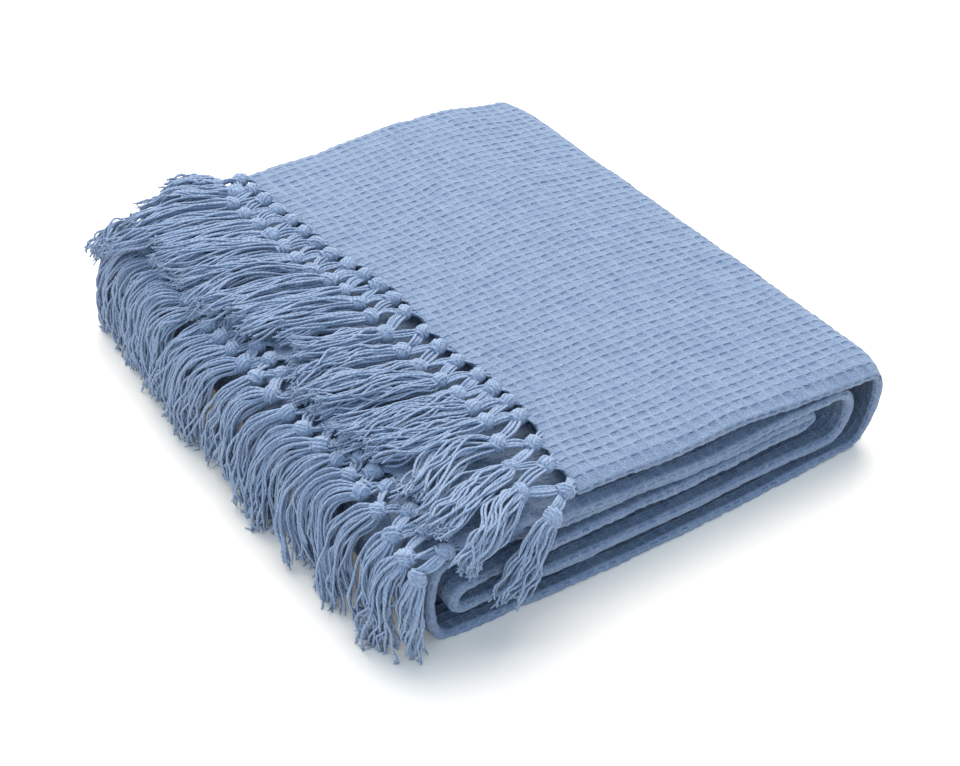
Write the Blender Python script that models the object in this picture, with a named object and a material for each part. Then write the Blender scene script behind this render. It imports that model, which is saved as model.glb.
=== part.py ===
"""A cotton throw in a waffle weave, folded into a low bundle, with a knotted fringe on both cut ends.

The cloth is one solid: a thick sheet whose middle line runs back and forth through six layers and five
folds, carried from the near side of the bundle to the far side. Each fringe is one solid of its own: a
heading strip just off the cloth's end, a row of knots on it, pairs of legs down to a second row of knots,
and the locks of a tassel out of each of those.

Lengths here are millimetres and become metres where a mesh is made. X runs from the fringed side to the
big fold, Y from the near side to the far side, Z up from the surface that the bundle lies on.
"""

import bmesh
import bpy
import numpy as np

MM = 0.001

# Driving dimensions
WIDTH = 377.0            # the bundle from its near side to its far side, along the fringe
THICK = 4.6              # the cloth, from crest to crest of its waffle cells
RUN_STEP = 30.0          # the longest straight piece of a layer
SAG_REACH = 28.0         # how far in from a side the layers hang down
ARCH = 0.4               # the middle of the underside, off the surface: a strip at each end touches
ARCH_FROM = 2            # rows of the bottom layer at each end that stay down
SEAM_GAP = 0.3           # between the cloth's end and a heading strip
KNOTS = 23               # first-row knots on each fringe
END_INSET = 5.0          # the outermost knots, in from the sides
HEADING = 2.2            # depth of a heading strip
HEADING_HALF = 1.7       # half its thickness
ROOT_HALF = 2.6          # half the width of a first knot where it leaves the strip
KNOT_REACH = 8.0         # middle of a first-row knot, out from the cloth's end
END_TASSEL_STEP = 0.55   # the outermost tassels, past their knot, in knot pitches
SEED = 11

# Each run of the cloth in the order it is passed from the top fringe inwards. Columns: x, height of the
# middle of the cloth, how far the near side hangs, how far the far side hangs, y of the near side, how far
# the far side stands past WIDTH, and how much further out along x the near side is than the far side.
RUNS = {
    "top": (
        (8, 73.3, 2.4, 2.0, 0.0, 8.5, 0.0),
        (30, 72.2, 1.6, 2.0, -0.5, 9.5, 0.0),
        (75, 69.9, 2.9, 2.2, -1.5, 14.0, 0.0),
        (125, 67.4, 0.4, 2.2, -1.2, 19.0, 2.0),
        (165, 65.4, 3.2, 2.5, -3.0, 19.0, 7.0),
        (219, 62.7, 5.6, 4.0, -4.5, 10.0, 14.0),
    ),
    "floor": (
        (216, 2.3, 0.0, 0.0, -4.0, 4.0, 2.0),
        (75, 2.3, 0.0, 0.0, -6.2, 8.0, 0.0),
        (0, 2.3, 0.0, 0.0, -4.4, 9.0, 0.0),
        (-78, 2.3, 0.0, 0.0, 0.5, 7.0, 0.0),
    ),
    "upper_inner": (
        (-78, 60.5, 2.0, 3.0, 1.5, 6.0, 0.0),
        (-50, 60.0, 2.2, 2.5, 1.0, 6.0, 0.0),
        (0, 53.0, 4.6, 2.0, 1.0, 5.0, 0.0),
        (50, 47.5, 1.4, 1.5, 1.0, 4.0, 0.0),
        (100, 44.2, 1.2, 1.5, 0.0, 5.0, 0.0),
        (179, 45.2, 1.0, 1.5, -1.0, 6.0, 2.0),
    ),
    "lower_inner": (
        (179, 38.6, 0.8, 1.0, -1.5, 6.0, 2.0),
        (100, 36.8, 0.6, 1.0, -2.0, 7.0, 0.0),
        (0, 38.0, 0.8, 1.0, -1.0, 6.0, 0.0),
        (-68, 37.2, 0.8, 1.0, 0.0, 4.0, 0.0),
    ),
    "second": (
        (-68, 19.8, 0.5, 0.5, 0.5, 3.0, 0.0),
        (0, 20.5, 0.6, 0.5, -3.0, 7.0, 0.0),
        (75, 19.7, 0.6, 0.5, -4.5, 8.0, 0.0),
        (150, 17.8, 0.4, 0.5, -3.0, 6.0, 1.0),
        (197, 15.5, 0.2, 0.5, -2.0, 5.0, 3.0),
    ),
    "under_top": (
        (200, 51.5, 1.0, 3.0, -2.0, 6.0, 6.0),
        (165, 52.8, 2.0, 2.5, -2.0, 8.0, 2.0),
        (100, 51.0, 2.0, 2.0, -3.0, 8.0, 0.0),
        (50, 55.0, 3.0, 2.0, -2.5, 7.0, 0.0),
        (0, 60.6, 4.8, 2.5, -2.0, 5.0, 0.0),
        (-50, 66.8, 2.6, 3.0, -1.0, 5.0, 0.0),
        (-74, 66.6, 0.6, 3.0, 0.0, 5.0, 0.0),
    ),
}

# The fold after each run but the last: how far its middle line stands out past the layers that it joins
# (to the right if positive), how far it is drawn in at the two sides, and the number of steps round it.
FOLDS = {
    "top": (24.0, 8.5, 10),
    "floor": (-20.2, 6.0, 10),
    "upper_inner": (7.0, 0.5, 4),
    "lower_inner": (-12.0, 2.0, 6),
    "second": (17.0, 1.0, 8),
}

# How far the cloth's end on top stands out from a straight line, along the near-far direction.
BOW = (
    (0, -3.0), (22, -2.0), (75, 10.5), (105, 10.0), (135, 5.5), (230, 6.0), (262, -1.5), (300, -3.0),
    (345, -7.0), (WIDTH, -8.0),
)
BOW_REACH = 70.0         # how far in from its end the top layer takes up that bow
SIDE_STATIONS = (8, 24)  # extra cross-sections near a side, where the layers hang

# Each fringe past its first knots: height of its second knots, two bends of a tassel by their share of the
# way to its end and their height, and the tassels themselves. Columns of these: y and x of the tassel's
# knot, x and z of its end, how far that leans to the far side.
TOP_RAIL = {
    "knot": 75.6,
    "bends": ((0.2, 76.2), (0.65, 77.2)),
    "ends": (
        (0, -20, -72, 76.2, 4), (60, -20, -72, 76.2, 11), (110, -20, -72, 76.4, 14), (140, -20, -78, 76.6, 17),
        (190, -20, -84, 76.4, 18), (206, -20, -106, 73.0, 22), (260, -20, -108, 72.0, 22),
        (290, -20, -104, 72.0, 18), (320, -20, -118, 70.5, 14), (390, -20, -122, 70.0, 6),
    ),
}
LOWER_RAIL = {
    "knot": 64.5,
    "bends": ((0.5, 58.0), (0.92, 32.0)),
    "ends": (
        (0, -103, -110, 4.6, 3), (22, -101, -118, 4.6, 7), (45, -96, -122, 4.6, 12), (100, -93, -128, 4.6, 14),
        (140, -96, -130, 4.6, 14), (290, -96, -131, 4.6, 12), (350, -96, -134, 4.6, 10), (390, -96, -134, 4.6, 3),
    ),
}
KNOT_LIFT = {"top": 2.6, "lower": 0.2}  # first-row knots, above the middle of the cloth

# Tassels that hang over a corner instead: for each, its second knot and three points of its locks.
TOP_CORNERS = {
    0: ((-19, -8.0, 68), (-29, -11.5, 58), (-41, -13.0, 42), (-50, -13.5, 26)),
    1: ((-27, 12, 76.0), (-43, 4, 76.5), (-60, -6, 74.0), (-76, -13.0, 63.5)),
    KNOTS - 1: ((-20, 367, 76.0), (-34, 373, 77.0), (-54, 383, 76.0), (-69, 392, 72.5)),
    KNOTS: ((-26, 387, 75.5), (-34, 391, 76.0), (-46, 396, 75.5), (-57, 400, 74.0)),
}
LOWER_CORNERS = {
    0: ((-102.5, 0.5, 60), (-108, -1, 44), (-109, -1, 24), (-108, 0, 5)),
    KNOTS - 1: ((-95, 364, 64.5), (-109, 366, 58), (-127, 370, 34), (-134, 372, 5)),
    KNOTS: ((-92, 380, 67.5), (-104, 382, 70), (-118, 381, 71), (-129, 379, 69)),
}

# The first-row knots aren't evenly spaced. Columns: knot, how far it stands past its even place.
KNOT_SHIFT = (
    (0, -1.0), (2, 2.0), (3, 9.0), (6, 3.0), (9, 6.0), (10, 12.0), (12, 11.0), (14, 7.0), (16, 6.0), (22, 0.0),
)

# Rings of the knots: distance from the knot's middle, half width, half height.
FIRST_KNOT = ((0.0, 5.3, 4.6), (4.4, 3.8, 3.0))
SECOND_KNOT = ((-5.0, 3.8, 3.0), (0.0, 5.9, 5.0), (4.8, 4.6, 3.6))
CHEEK = 0.62             # the height of a knot's side corners, against its middle

# Locks: at the second knot, and at each point of the rail, the offset from the tassel's middle to a
# lock's middle, sideways and in thickness, and the lock's half width and half thickness.
LOCKS = ((3.0, 1.8, 2.1, 1.3), (3.9, 1.9, 2.9, 1.5), (4.2, 1.9, 2.5, 1.0))
LENGTH_SPREAD = 6.0      # most that a tassel is longer or shorter than the rail
LOCK_SPREAD = 3.0        # most that one lock is longer or shorter than its tassel
SIDE_DRIFT = 0.9         # most that a tassel's end swings to one side

# Inside of the bundle, from which every tassel faces away.
CORE_LOW = np.array((-70.0, 20.0, 12.0))
CORE_HIGH = np.array((230.0, WIDTH - 20.0, 50.0))

CLOTH_BLUE = (0.37, 0.50, 0.72, 1.0)
YARN_BLUE = (0.36, 0.49, 0.71, 1.0)


def remove_scene_objects():
    """Empty the scene of what it starts with."""
    for obj in list(bpy.data.objects):
        bpy.data.objects.remove(obj, do_unlink=True)


def smooth_through(places, values, at):
    """Cubic curve through values at rising places, read at the places in at."""
    slopes = np.gradient(values, places, axis=0)
    left = np.clip(np.searchsorted(places, at, side="right") - 1, 0, len(places) - 2)
    span = places[left + 1] - places[left]
    t = (at - places[left]) / span
    t, span = t[:, None], span[:, None]
    return (
        values[left] * (1 + 2 * t) * (1 - t) ** 2
        + slopes[left] * span * t * (1 - t) ** 2
        + values[left + 1] * t**2 * (3 - 2 * t)
        + slopes[left + 1] * span * t**2 * (t - 1)
    )


def run_rows(name):
    """Evenly spaced rows of one run, in the order the cloth passes them."""
    table = np.array(RUNS[name], float)
    rising = table if table[0, 0] < table[-1, 0] else table[::-1]
    count = int(np.ceil((rising[-1, 0] - rising[0, 0]) / RUN_STEP)) + 1
    x = np.linspace(rising[0, 0], rising[-1, 0], count)
    rows = np.column_stack((x, smooth_through(rising[:, 0], rising[:, 1:], x)))
    if name == "floor":
        rows[ARCH_FROM:-ARCH_FROM, 1] += ARCH
    return rows if rising is table else rows[::-1]


def fold_rows(before, after, reach, steps):
    """Rows of a fold, a half ellipse from the last row of one run to the first row of the next."""
    angle = np.linspace(0, np.pi, steps + 1)[1:-1, None]
    share = (1 - np.cos(angle)) / 2
    rows = before + (after - before) * share
    rows[:, 0] += reach * np.sin(angle[:, 0])
    return rows


def section_rows():
    """The whole middle line, with one more column: how far a row is drawn in at the sides, along x."""
    names = list(RUNS)
    rows = []
    for name, following in zip(names, names[1:] + [None]):
        run = run_rows(name)
        rows.append(np.column_stack((run, np.zeros(len(run)))))
        if following:
            reach, draw, steps = FOLDS[name]
            fold = fold_rows(run[-1], run_rows(following)[0], reach, steps)
            roundness = np.sin(np.linspace(0, np.pi, steps + 1)[1:-1])
            rows.append(np.column_stack((fold, -np.sign(reach) * draw * roundness)))
    return np.concatenate(rows)


def bow_at(y):
    """How far the top layer's end stands out at y, with straight pieces between the cross-sections."""
    table = np.array(BOW, float)
    return np.interp(y, table[:, 0], table[:, 1])


def stations():
    """Where the cross-sections stand, as distances from the near side."""
    sides = [*SIDE_STATIONS, *(WIDTH - s for s in SIDE_STATIONS)]
    return np.array(sorted({*(float(y) for y, _ in BOW), *map(float, sides)}))


def middle_line(y):
    """The middle line's points in the cross-section at y: x, y and z of every row."""
    rows = section_rows()
    x, z, near_sag, far_sag, near_edge, far_edge, skew, draw = rows.T
    near = np.clip(1 - y / SAG_REACH, 0, 1) ** 2
    far = np.clip(1 - (WIDTH - y) / SAG_REACH, 0, 1) ** 2
    on_top = np.arange(len(rows)) < len(run_rows("top"))
    take_up = on_top * np.clip(1 - (x - x[0]) / BOW_REACH, 0, 1)
    share = y / WIDTH
    return np.column_stack((
        x + draw * (near + far) + skew * (0.5 - share) + bow_at(y) * take_up,
        near_edge + share * (WIDTH + far_edge - near_edge),
        z - near_sag * near - far_sag * far,
    ))


def outline(points):
    """The closed outline of one cross-section, half the cloth's thickness to each side of its middle."""
    along = np.gradient(points, axis=0)
    side = np.column_stack((-along[:, 2], np.zeros(len(points)), along[:, 0]))
    side *= THICK / 2 / np.linalg.norm(side, axis=1)[:, None]
    return np.concatenate((points + side, (points - side)[::-1]))


def cloth_mesh():
    """Points and faces of the folded cloth: outlines joined from station to station, with two ends."""
    rings = [outline(middle_line(y)) for y in stations()]
    size = len(rings[0])
    half = size // 2
    faces = []
    for ring in range(len(rings) - 1):
        for i in range(size):
            a, b = ring * size + i, ring * size + (i + 1) % size
            faces.append((a, b, b + size, a + size))
    for start in (0, (len(rings) - 1) * size):
        for i in range(half - 1):
            faces.append((start + i, start + i + 1, start + size - 2 - i, start + size - 1 - i))
    return np.concatenate(rings), faces


def facing(point):
    """The direction out of the bundle at a point."""
    away = point - np.clip(point, CORE_LOW, CORE_HIGH)
    return away / np.linalg.norm(away)


def frame_at(point, along):
    """Sideways and outward directions across a tassel at a point."""
    along = along / np.linalg.norm(along)
    side = np.cross(along, facing(point))
    side /= np.linalg.norm(side)
    return side, np.cross(side, along)


class Fringe:
    """One knotted fringe, built up as points and faces of a single closed body."""

    def __init__(self, end_row, rail, corners, takes_bow, lift, rng):
        self.end_row = end_row
        self.lift = lift
        self.rail = rail
        self.corners = corners
        self.takes_bow = takes_bow
        self.rng = rng
        self.points = []
        self.faces = []

    def add(self, points):
        """Keep some points and give back their numbers."""
        start = len(self.points)
        self.points.extend(points)
        return list(range(start, len(self.points)))

    def join(self, ring_a, ring_b):
        """Walls between two rings of like points."""
        for i, a in enumerate(ring_a):
            j = (i + 1) % len(ring_a)
            self.faces.append((a, ring_a[j], ring_b[j], ring_b[i]))

    def cloth_end(self, y):
        """A point on the cloth's end at y, with the direction out of it and the direction off its face."""
        at = stations()
        ends = [middle_line(s)[self.end_row] for s in at]
        inner = 1 if self.end_row == 0 else self.end_row - 1
        behind = [middle_line(s)[inner] for s in at]
        point = np.array([np.interp(y, at, column) for column in np.transpose(ends)])
        back = np.array([np.interp(y, at, column) for column in np.transpose(behind)])
        out = (point - back) * (1, 0, 1)
        out /= np.linalg.norm(out)
        return point, out, np.array((-out[2], 0, out[0])) * np.sign(out[0])

    def knot_places(self):
        """Distances from the near side to the first-row knots."""
        knot, shift = np.array(KNOT_SHIFT).T
        return np.linspace(END_INSET, WIDTH - END_INSET, KNOTS) + np.interp(np.arange(KNOTS), knot, shift)

    def strip_column(self, y):
        """Four corners of the heading strip at y: inner top, outer top, outer bottom, inner bottom."""
        point, out, off = self.cloth_end(y)
        inner, outer = point + out * SEAM_GAP, point + out * (SEAM_GAP + HEADING)
        rise = off * HEADING_HALF
        return self.add([inner + rise, outer + rise, outer - rise, inner - rise])

    def heading(self):
        """The strip, whose open places take the first knots. Gives back each place's ring of six."""
        knots = self.knot_places()
        plain = [y for y in stations() if abs(knots - y).min() > ROOT_HALF]
        trios = [y + d for y in knots for d in (-ROOT_HALF, 0.0, ROOT_HALF)]
        ys = np.array(sorted(plain + trios))
        columns = [self.strip_column(y) for y in ys]
        under_knot = abs((ys[:-1] + ys[1:])[:, None] / 2 - knots).min(axis=1) < ROOT_HALF
        for a, b, open_face in zip(columns, columns[1:], under_knot):
            for j in range(4):
                k = (j + 1) % 4
                if not (j == 1 and open_face):
                    self.faces.append((a[j], a[k], b[k], b[j]))
        self.faces += [tuple(columns[0]), tuple(columns[-1])]
        roots = []
        for y in knots:
            first = int(np.searchsorted(ys, y - ROOT_HALF - 1e-6))
            trio = columns[first:first + 3]
            roots.append([c[1] for c in trio] + [c[2] for c in trio[::-1]])
        return roots

    def hexagon(self, middle, side, out, half_width, half_height):
        """Six points: low side, middle and high side above, then the same below, backwards."""
        cheek = CHEEK * half_height
        return self.add([
            middle - side * half_width + out * cheek,
            middle + out * half_height,
            middle + side * half_width + out * cheek,
            middle + side * half_width - out * cheek,
            middle - out * half_height,
            middle - side * half_width - out * cheek,
        ])

    def first_knot(self, y, root):
        """A knot on the heading. Gives back its outer ring."""
        point, out, off = self.cloth_end(y)
        middle = point + out * KNOT_REACH + off * self.lift
        side = np.array((0.0, 1.0, 0.0))
        ring = root
        for reach, half_width, half_height in FIRST_KNOT:
            following = self.hexagon(middle + out * reach, side, off, half_width, half_height)
            self.join(ring, following)
            ring = following
        return ring

    def tassel_line(self, index):
        """The tassel's second knot and the points of its locks."""
        if index in self.corners:
            return np.array(self.corners[index], float)
        knots = self.knot_places()
        pitch = knots[1] - knots[0]
        if index == 0:
            place = knots[0] - END_TASSEL_STEP * pitch
        elif index == KNOTS:
            place = knots[-1] + END_TASSEL_STEP * pitch
        else:
            place = (knots[index - 1] + knots[index]) / 2
        on_cloth = np.clip(place, 0, WIDTH)
        y = self.cloth_end(on_cloth)[0][1] + place - on_cloth
        z = self.rail["knot"]
        ends = np.array(self.rail["ends"], float)
        x, end_x, end_z, lean = (np.interp(y, ends[:, 0], column) for column in ends[:, 1:].T)
        x += bow_at(on_cloth) if self.takes_bow else 0.0
        bends = [(x + share * (end_x - x), y + share * lean, height) for share, height in self.rail["bends"]]
        line = np.array([(x, y, z), *bends, (end_x, y + lean, end_z)])
        length = self.rng.uniform(-LENGTH_SPREAD, LENGTH_SPREAD)
        drift = self.rng.uniform(-SIDE_DRIFT, SIDE_DRIFT)
        line[-1] += (line[-1] - line[-2]) * length / np.linalg.norm(line[-1] - line[-2])
        line[1:, 1] += drift * np.array((0.3, 0.7, 1.0))
        line[-1, 2] = max(line[-1, 2], end_z)
        return line

    def tassel(self, line, legs):
        """A second knot on its legs, and the locks out of it. A leg is a first knot's ring and its side."""
        along = line[1] - line[0]
        along /= np.linalg.norm(along)
        side, out = frame_at(line[0], along)
        reach, half_width, half_height = SECOND_KNOT[0]
        inner = self.hexagon(line[0] + along * reach, side, out, half_width, half_height)
        cells = {"low": [inner[0], inner[1], inner[4], inner[5]], "high": [inner[1], inner[2], inner[3], inner[4]]}
        for name, cell in cells.items():
            if name not in legs:
                self.faces.append(tuple(cell))
                continue
            self.join(legs[name], cell)
        rings = []
        for reach, half_width, half_height in SECOND_KNOT[1:]:
            middle = line[0] + along * reach
            ring = self.hexagon(middle, side, out, half_width, half_height)
            waist = self.add([middle + side * half_width * 1.12, middle - side * half_width * 1.12])
            rings.append([ring[0], ring[1], ring[2], waist[0], ring[3], ring[4], ring[5], waist[1]])
        belly, brow = rings
        self.faces += [
            (inner[0], inner[1], belly[1], belly[0]),
            (inner[1], inner[2], belly[2], belly[1]),
            (inner[2], inner[3], belly[4], belly[3], belly[2]),
            (inner[3], inner[4], belly[5], belly[4]),
            (inner[4], inner[5], belly[6], belly[5]),
            (inner[5], inner[0], belly[0], belly[7], belly[6]),
        ]
        self.join(belly, brow)
        centre = self.add([line[0] + along * SECOND_KNOT[-1][0]])[0]
        roots = {
            (-1, 1): [brow[0], brow[1], centre, brow[7]],
            (1, 1): [brow[1], brow[2], brow[3], centre],
            (1, -1): [centre, brow[3], brow[4], brow[5]],
            (-1, -1): [brow[7], centre, brow[5], brow[6]],
        }
        for (column, row), root in roots.items():
            self.lock(line, column, row, root)

    def lock(self, line, column, row, root):
        """One lock of a tassel: four-sided, from its place on the knot along the line to a blunt end."""
        extra = self.rng.uniform(-LOCK_SPREAD, LOCK_SPREAD)
        ring = root
        for i, (spread, lift, half_width, half_thick) in enumerate(LOCKS, start=1):
            along = line[min(i + 1, len(line) - 1)] - line[i - 1]
            side, out = frame_at(line[i], along)
            middle = line[i] + side * spread * column + out * lift * row
            if i == len(LOCKS):
                middle = middle + extra * along / np.linalg.norm(along)
                middle[2] = max(middle[2], half_width + half_thick)
            wide, thick = side * half_width, out * half_thick
            following = self.add([
                middle - wide + thick, middle + wide + thick,
                middle + wide - thick, middle - wide - thick,
            ])
            self.join(ring, following)
            ring = following
        self.faces.append(tuple(ring))

    def build(self):
        """The whole fringe's points and faces."""
        rings = [self.first_knot(y, root) for y, root in zip(self.knot_places(), self.heading())]
        for index in range(KNOTS + 1):
            legs = {}
            if index > 0:
                ring = rings[index - 1]
                legs["low"] = [ring[1], ring[2], ring[3], ring[4]]
            if index < KNOTS:
                ring = rings[index]
                legs["high"] = [ring[0], ring[1], ring[4], ring[5]]
            self.tassel(self.tassel_line(index), legs)
        return np.array(self.points), self.faces


def cotton(name, colour, roughness):
    """A matt cotton material."""
    material = bpy.data.materials.new(name)
    material.use_nodes = True
    shader = material.node_tree.nodes["Principled BSDF"]
    shader.inputs["Base Color"].default_value = colour
    shader.inputs["Roughness"].default_value = roughness
    shader.inputs["Metallic"].default_value = 0.0
    return material


def make_object(name, points, faces, material):
    """A mesh object of points in metres, its faces turned outwards."""
    mesh = bpy.data.meshes.new(name)
    mesh.from_pydata(points.tolist(), [], faces)
    work = bmesh.new()
    work.from_mesh(mesh)
    bmesh.ops.recalc_face_normals(work, faces=work.faces)
    work.to_mesh(mesh)
    work.free()
    mesh.materials.append(material)
    mesh.shade_smooth()
    mesh.set_sharp_from_angle(angle=np.radians(50))
    obj = bpy.data.objects.new(name, mesh)
    bpy.context.scene.collection.objects.link(obj)
    return obj


def main():
    """Build the cloth and its two fringes round the middle of their common box."""
    remove_scene_objects()
    rng = np.random.default_rng(SEED)
    last_row = len(section_rows()) - 1
    top = Fringe(0, TOP_RAIL, TOP_CORNERS, True, KNOT_LIFT["top"], rng)
    lower = Fringe(last_row, LOWER_RAIL, LOWER_CORNERS, False, KNOT_LIFT["lower"], rng)
    shapes = {
        "blanket_cloth": (*cloth_mesh(), cotton("waffle_cotton", CLOTH_BLUE, 0.92)),
        "fringe_top": (*top.build(), cotton("fringe_yarn_top", YARN_BLUE, 0.9)),
        "fringe_lower": (*lower.build(), cotton("fringe_yarn_lower", YARN_BLUE, 0.9)),
    }
    every = np.concatenate([points for points, _, _ in shapes.values()])
    low, high = every.min(axis=0), every.max(axis=0)
    origin = np.array(((low[0] + high[0]) / 2, (low[1] + high[1]) / 2, 0.0))
    for name, (points, faces, material) in shapes.items():
        make_object(name, (points - origin) * MM, faces, material)


main()
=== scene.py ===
"""A light blue cotton throw in a waffle weave, folded into a low bundle, with knotted tassel fringes.

The cloth is a folded sheet with real waffle pits. Its middle surface runs back and forth through the layers
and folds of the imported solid, and two faces, two rounded rims and a relief of square pits stand on it. Each
fringe is made of yarn: fans out of the cloth's end, wrapped knots, pairs of legs, a second row of knots and
a tassel of loose cut yarns out of each. Lengths are millimetres until a mesh is made.
"""

from __future__ import annotations

import logging
import math
from dataclasses import dataclass, field
from enum import Enum

import bpy
import numpy as np
from mathutils import Matrix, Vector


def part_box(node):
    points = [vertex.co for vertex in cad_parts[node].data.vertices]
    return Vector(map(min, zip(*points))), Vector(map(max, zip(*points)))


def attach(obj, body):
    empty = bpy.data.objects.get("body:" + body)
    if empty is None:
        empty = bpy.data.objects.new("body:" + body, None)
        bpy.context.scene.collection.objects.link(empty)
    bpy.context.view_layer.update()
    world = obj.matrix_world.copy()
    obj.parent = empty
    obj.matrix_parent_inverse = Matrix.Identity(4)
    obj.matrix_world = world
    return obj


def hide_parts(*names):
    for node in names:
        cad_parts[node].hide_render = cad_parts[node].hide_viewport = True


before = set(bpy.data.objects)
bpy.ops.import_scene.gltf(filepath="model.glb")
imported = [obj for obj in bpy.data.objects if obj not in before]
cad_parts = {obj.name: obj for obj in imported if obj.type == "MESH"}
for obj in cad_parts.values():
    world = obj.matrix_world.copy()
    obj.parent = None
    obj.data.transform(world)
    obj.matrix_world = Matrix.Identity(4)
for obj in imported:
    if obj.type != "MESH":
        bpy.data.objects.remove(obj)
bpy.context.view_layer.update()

LOG = logging.getLogger("throw")
MM = 0.001
Array = np.ndarray
Triple = tuple[float, float, float]

# The folded section's own sizes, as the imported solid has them.
WIDTH = 377.0
THICK = 4.6
SAG_REACH = 28.0  # how far in from a side its sag reaches
SECTION_LOW = (-100.5, -6.256)  # lowest x and y of the solid cloth
KNOTS = 23  # first knots of a fringe
END_INSET = 5.0  # from a side to the knot next to it
KNOT_REACH = 8.0  # from the cloth's end out to the middle of a first knot
END_TASSEL_STEP = 0.55  # from the last knot out to the tassel past it, in steps between knots

# Each run of the cloth in the order it is passed from the top fringe inwards. Columns: x, height of the
# middle of the cloth, how far the near side hangs, how far the far side hangs, y of the near side, how far
# the far side stands past WIDTH, and how much further out along x the near side is than the far side.
RUNS = {
    "top": (
        (8, 73.3, 2.4, 2.0, 0.0, 8.5, 0.0),
        (30, 72.2, 1.6, 2.0, -0.5, 9.5, 0.0),
        (75, 69.9, 2.9, 2.2, -1.5, 14.0, 0.0),
        (125, 67.6, 0.4, 2.0, -1.2, 20.0, 2.0),
        (165, 65.8, 2.8, 2.0, -3.0, 21.0, 7.0),
        (219, 63.4, 4.8, 3.4, -4.5, 12.0, 14.0),
    ),
    "floor": (
        (216, 2.3, 0.0, 0.0, -4.0, 4.0, 2.0),
        (75, 2.3, 0.0, 0.0, -6.2, 8.0, 0.0),
        (0, 2.3, 0.0, 0.0, -4.4, 9.0, 0.0),
        (-78, 2.3, 0.0, 0.0, 0.5, 7.0, 0.0),
    ),
    "upper_inner": (
        (-78, 60.5, 2.0, 3.0, 1.5, 6.0, 0.0),
        (-50, 60.0, 2.2, 2.5, 1.0, 6.0, 0.0),
        (0, 53.0, 4.6, 2.0, 1.0, 5.0, 0.0),
        (50, 47.5, 1.4, 1.5, 1.0, 4.0, 0.0),
        (100, 44.2, 1.2, 1.5, 0.0, 5.0, 0.0),
        (179, 45.2, 1.0, 1.5, -1.0, 6.0, 2.0),
    ),
    "lower_inner": (
        (179, 38.6, 0.8, 1.0, -1.5, 6.0, 2.0),
        (100, 36.8, 0.6, 1.0, -2.0, 7.0, 0.0),
        (0, 38.0, 0.8, 1.0, -1.0, 6.0, 0.0),
        (-68, 37.2, 0.8, 1.0, 0.0, 4.0, 0.0),
    ),
    "second": (
        (-68, 19.8, 0.5, 0.5, 0.5, 3.0, 0.0),
        (0, 20.5, 0.6, 0.5, -3.0, 7.0, 0.0),
        (75, 19.7, 0.6, 0.5, -4.5, 8.0, 0.0),
        (150, 17.8, 0.4, 0.5, -3.0, 6.0, 1.0),
        (197, 15.5, 0.2, 0.5, -2.0, 5.0, 3.0),
    ),
    "under_top": (
        (200, 51.5, 1.0, 3.0, -2.0, 6.0, 6.0),
        (165, 52.8, 2.0, 2.5, -2.0, 8.0, 2.0),
        (100, 51.0, 2.0, 2.0, -3.0, 8.0, 0.0),
        (50, 55.0, 3.0, 2.0, -2.5, 7.0, 0.0),
        (0, 60.6, 4.8, 2.5, -2.0, 5.0, 0.0),
        (-50, 66.8, 2.6, 3.0, -1.0, 5.0, 0.0),
        (-74, 66.6, 0.6, 3.0, 0.0, 5.0, 0.0),
    ),
}

# The fold after each run: how far it stands out past the layers that it joins, and how far it is drawn in
# at the two sides.
FOLDS = {
    "top": (24.0, 8.5),
    "floor": (-20.2, 6.0),
    "upper_inner": (7.0, 0.5),
    "lower_inner": (-12.0, 2.0),
    "second": (17.0, 1.0),
}
# How far a layer's edge rolls down at the near side, past its sag.
ROLLS = {"top": 4.2, "floor": 0.0, "upper_inner": 1.0, "lower_inner": 0.8, "second": 0.8, "under_top": 1.0}
ROLL_REACH = 13.0  # how far in from that side a roll reaches
# How far the cloth's end on top stands back from a straight line, by the distance from the near side.
BOW = (
    (0, -3.0), (22, -2.0), (75, 10.5), (105, 10.0), (135, 5.5), (230, 6.0), (262, -1.5), (300, -3.0),
    (345, -7.0), (WIDTH, -8.0),
)
BOW_REACH = 70.0  # length from that end over which the bow fades


@dataclass(frozen=True)
class Rail:
    """A fringe past its first knots.

    Attributes:
        knot: height of its second knots.
        bends: two bends of a tassel, each by its share of the way to the end and its height.
        ends: the tassels. Columns: y and x of the tassel's knot, x and z of its end, and how far that
            leans to the far side.
    """

    knot: float
    bends: tuple[tuple[float, float], ...]
    ends: tuple[tuple[float, ...], ...]


TOP_RAIL = Rail(
    knot=75.6,
    bends=((0.2, 76.2), (0.65, 77.2)),
    ends=(
        (0, -20, -76, 75.0, -14), (31, -20, -80, 73.5, -14), (52, -20, -82, 74.5, -4),
        (71, -20, -81, 74.5, 9),
        (110, -20, -81, 74.5, 13), (140, -20, -83, 75.0, 17), (190, -20, -86, 75.5, 18),
        (206, -20, -106, 73.0, 22), (260, -20, -108, 72.0, 22), (290, -20, -104, 72.0, 18),
        (320, -20, -118, 70.5, 14), (390, -20, -122, 70.0, 6),
    ),
)
LOWER_RAIL = Rail(
    knot=64.5,
    bends=((0.5, 58.0), (0.92, 32.0)),
    ends=(
        (0, -103, -110, 4.6, 3), (22, -101, -117, 4.6, 6), (45, -96, -118, 4.6, 6),
        (100, -93, -121, 4.6, 12), (140, -96, -124, 4.6, 14), (250, -96, -124, 4.6, 14),
        (310, -95, -121, 4.6, 12), (390, -91, -117, 4.6, 6),
    ),
)
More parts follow.
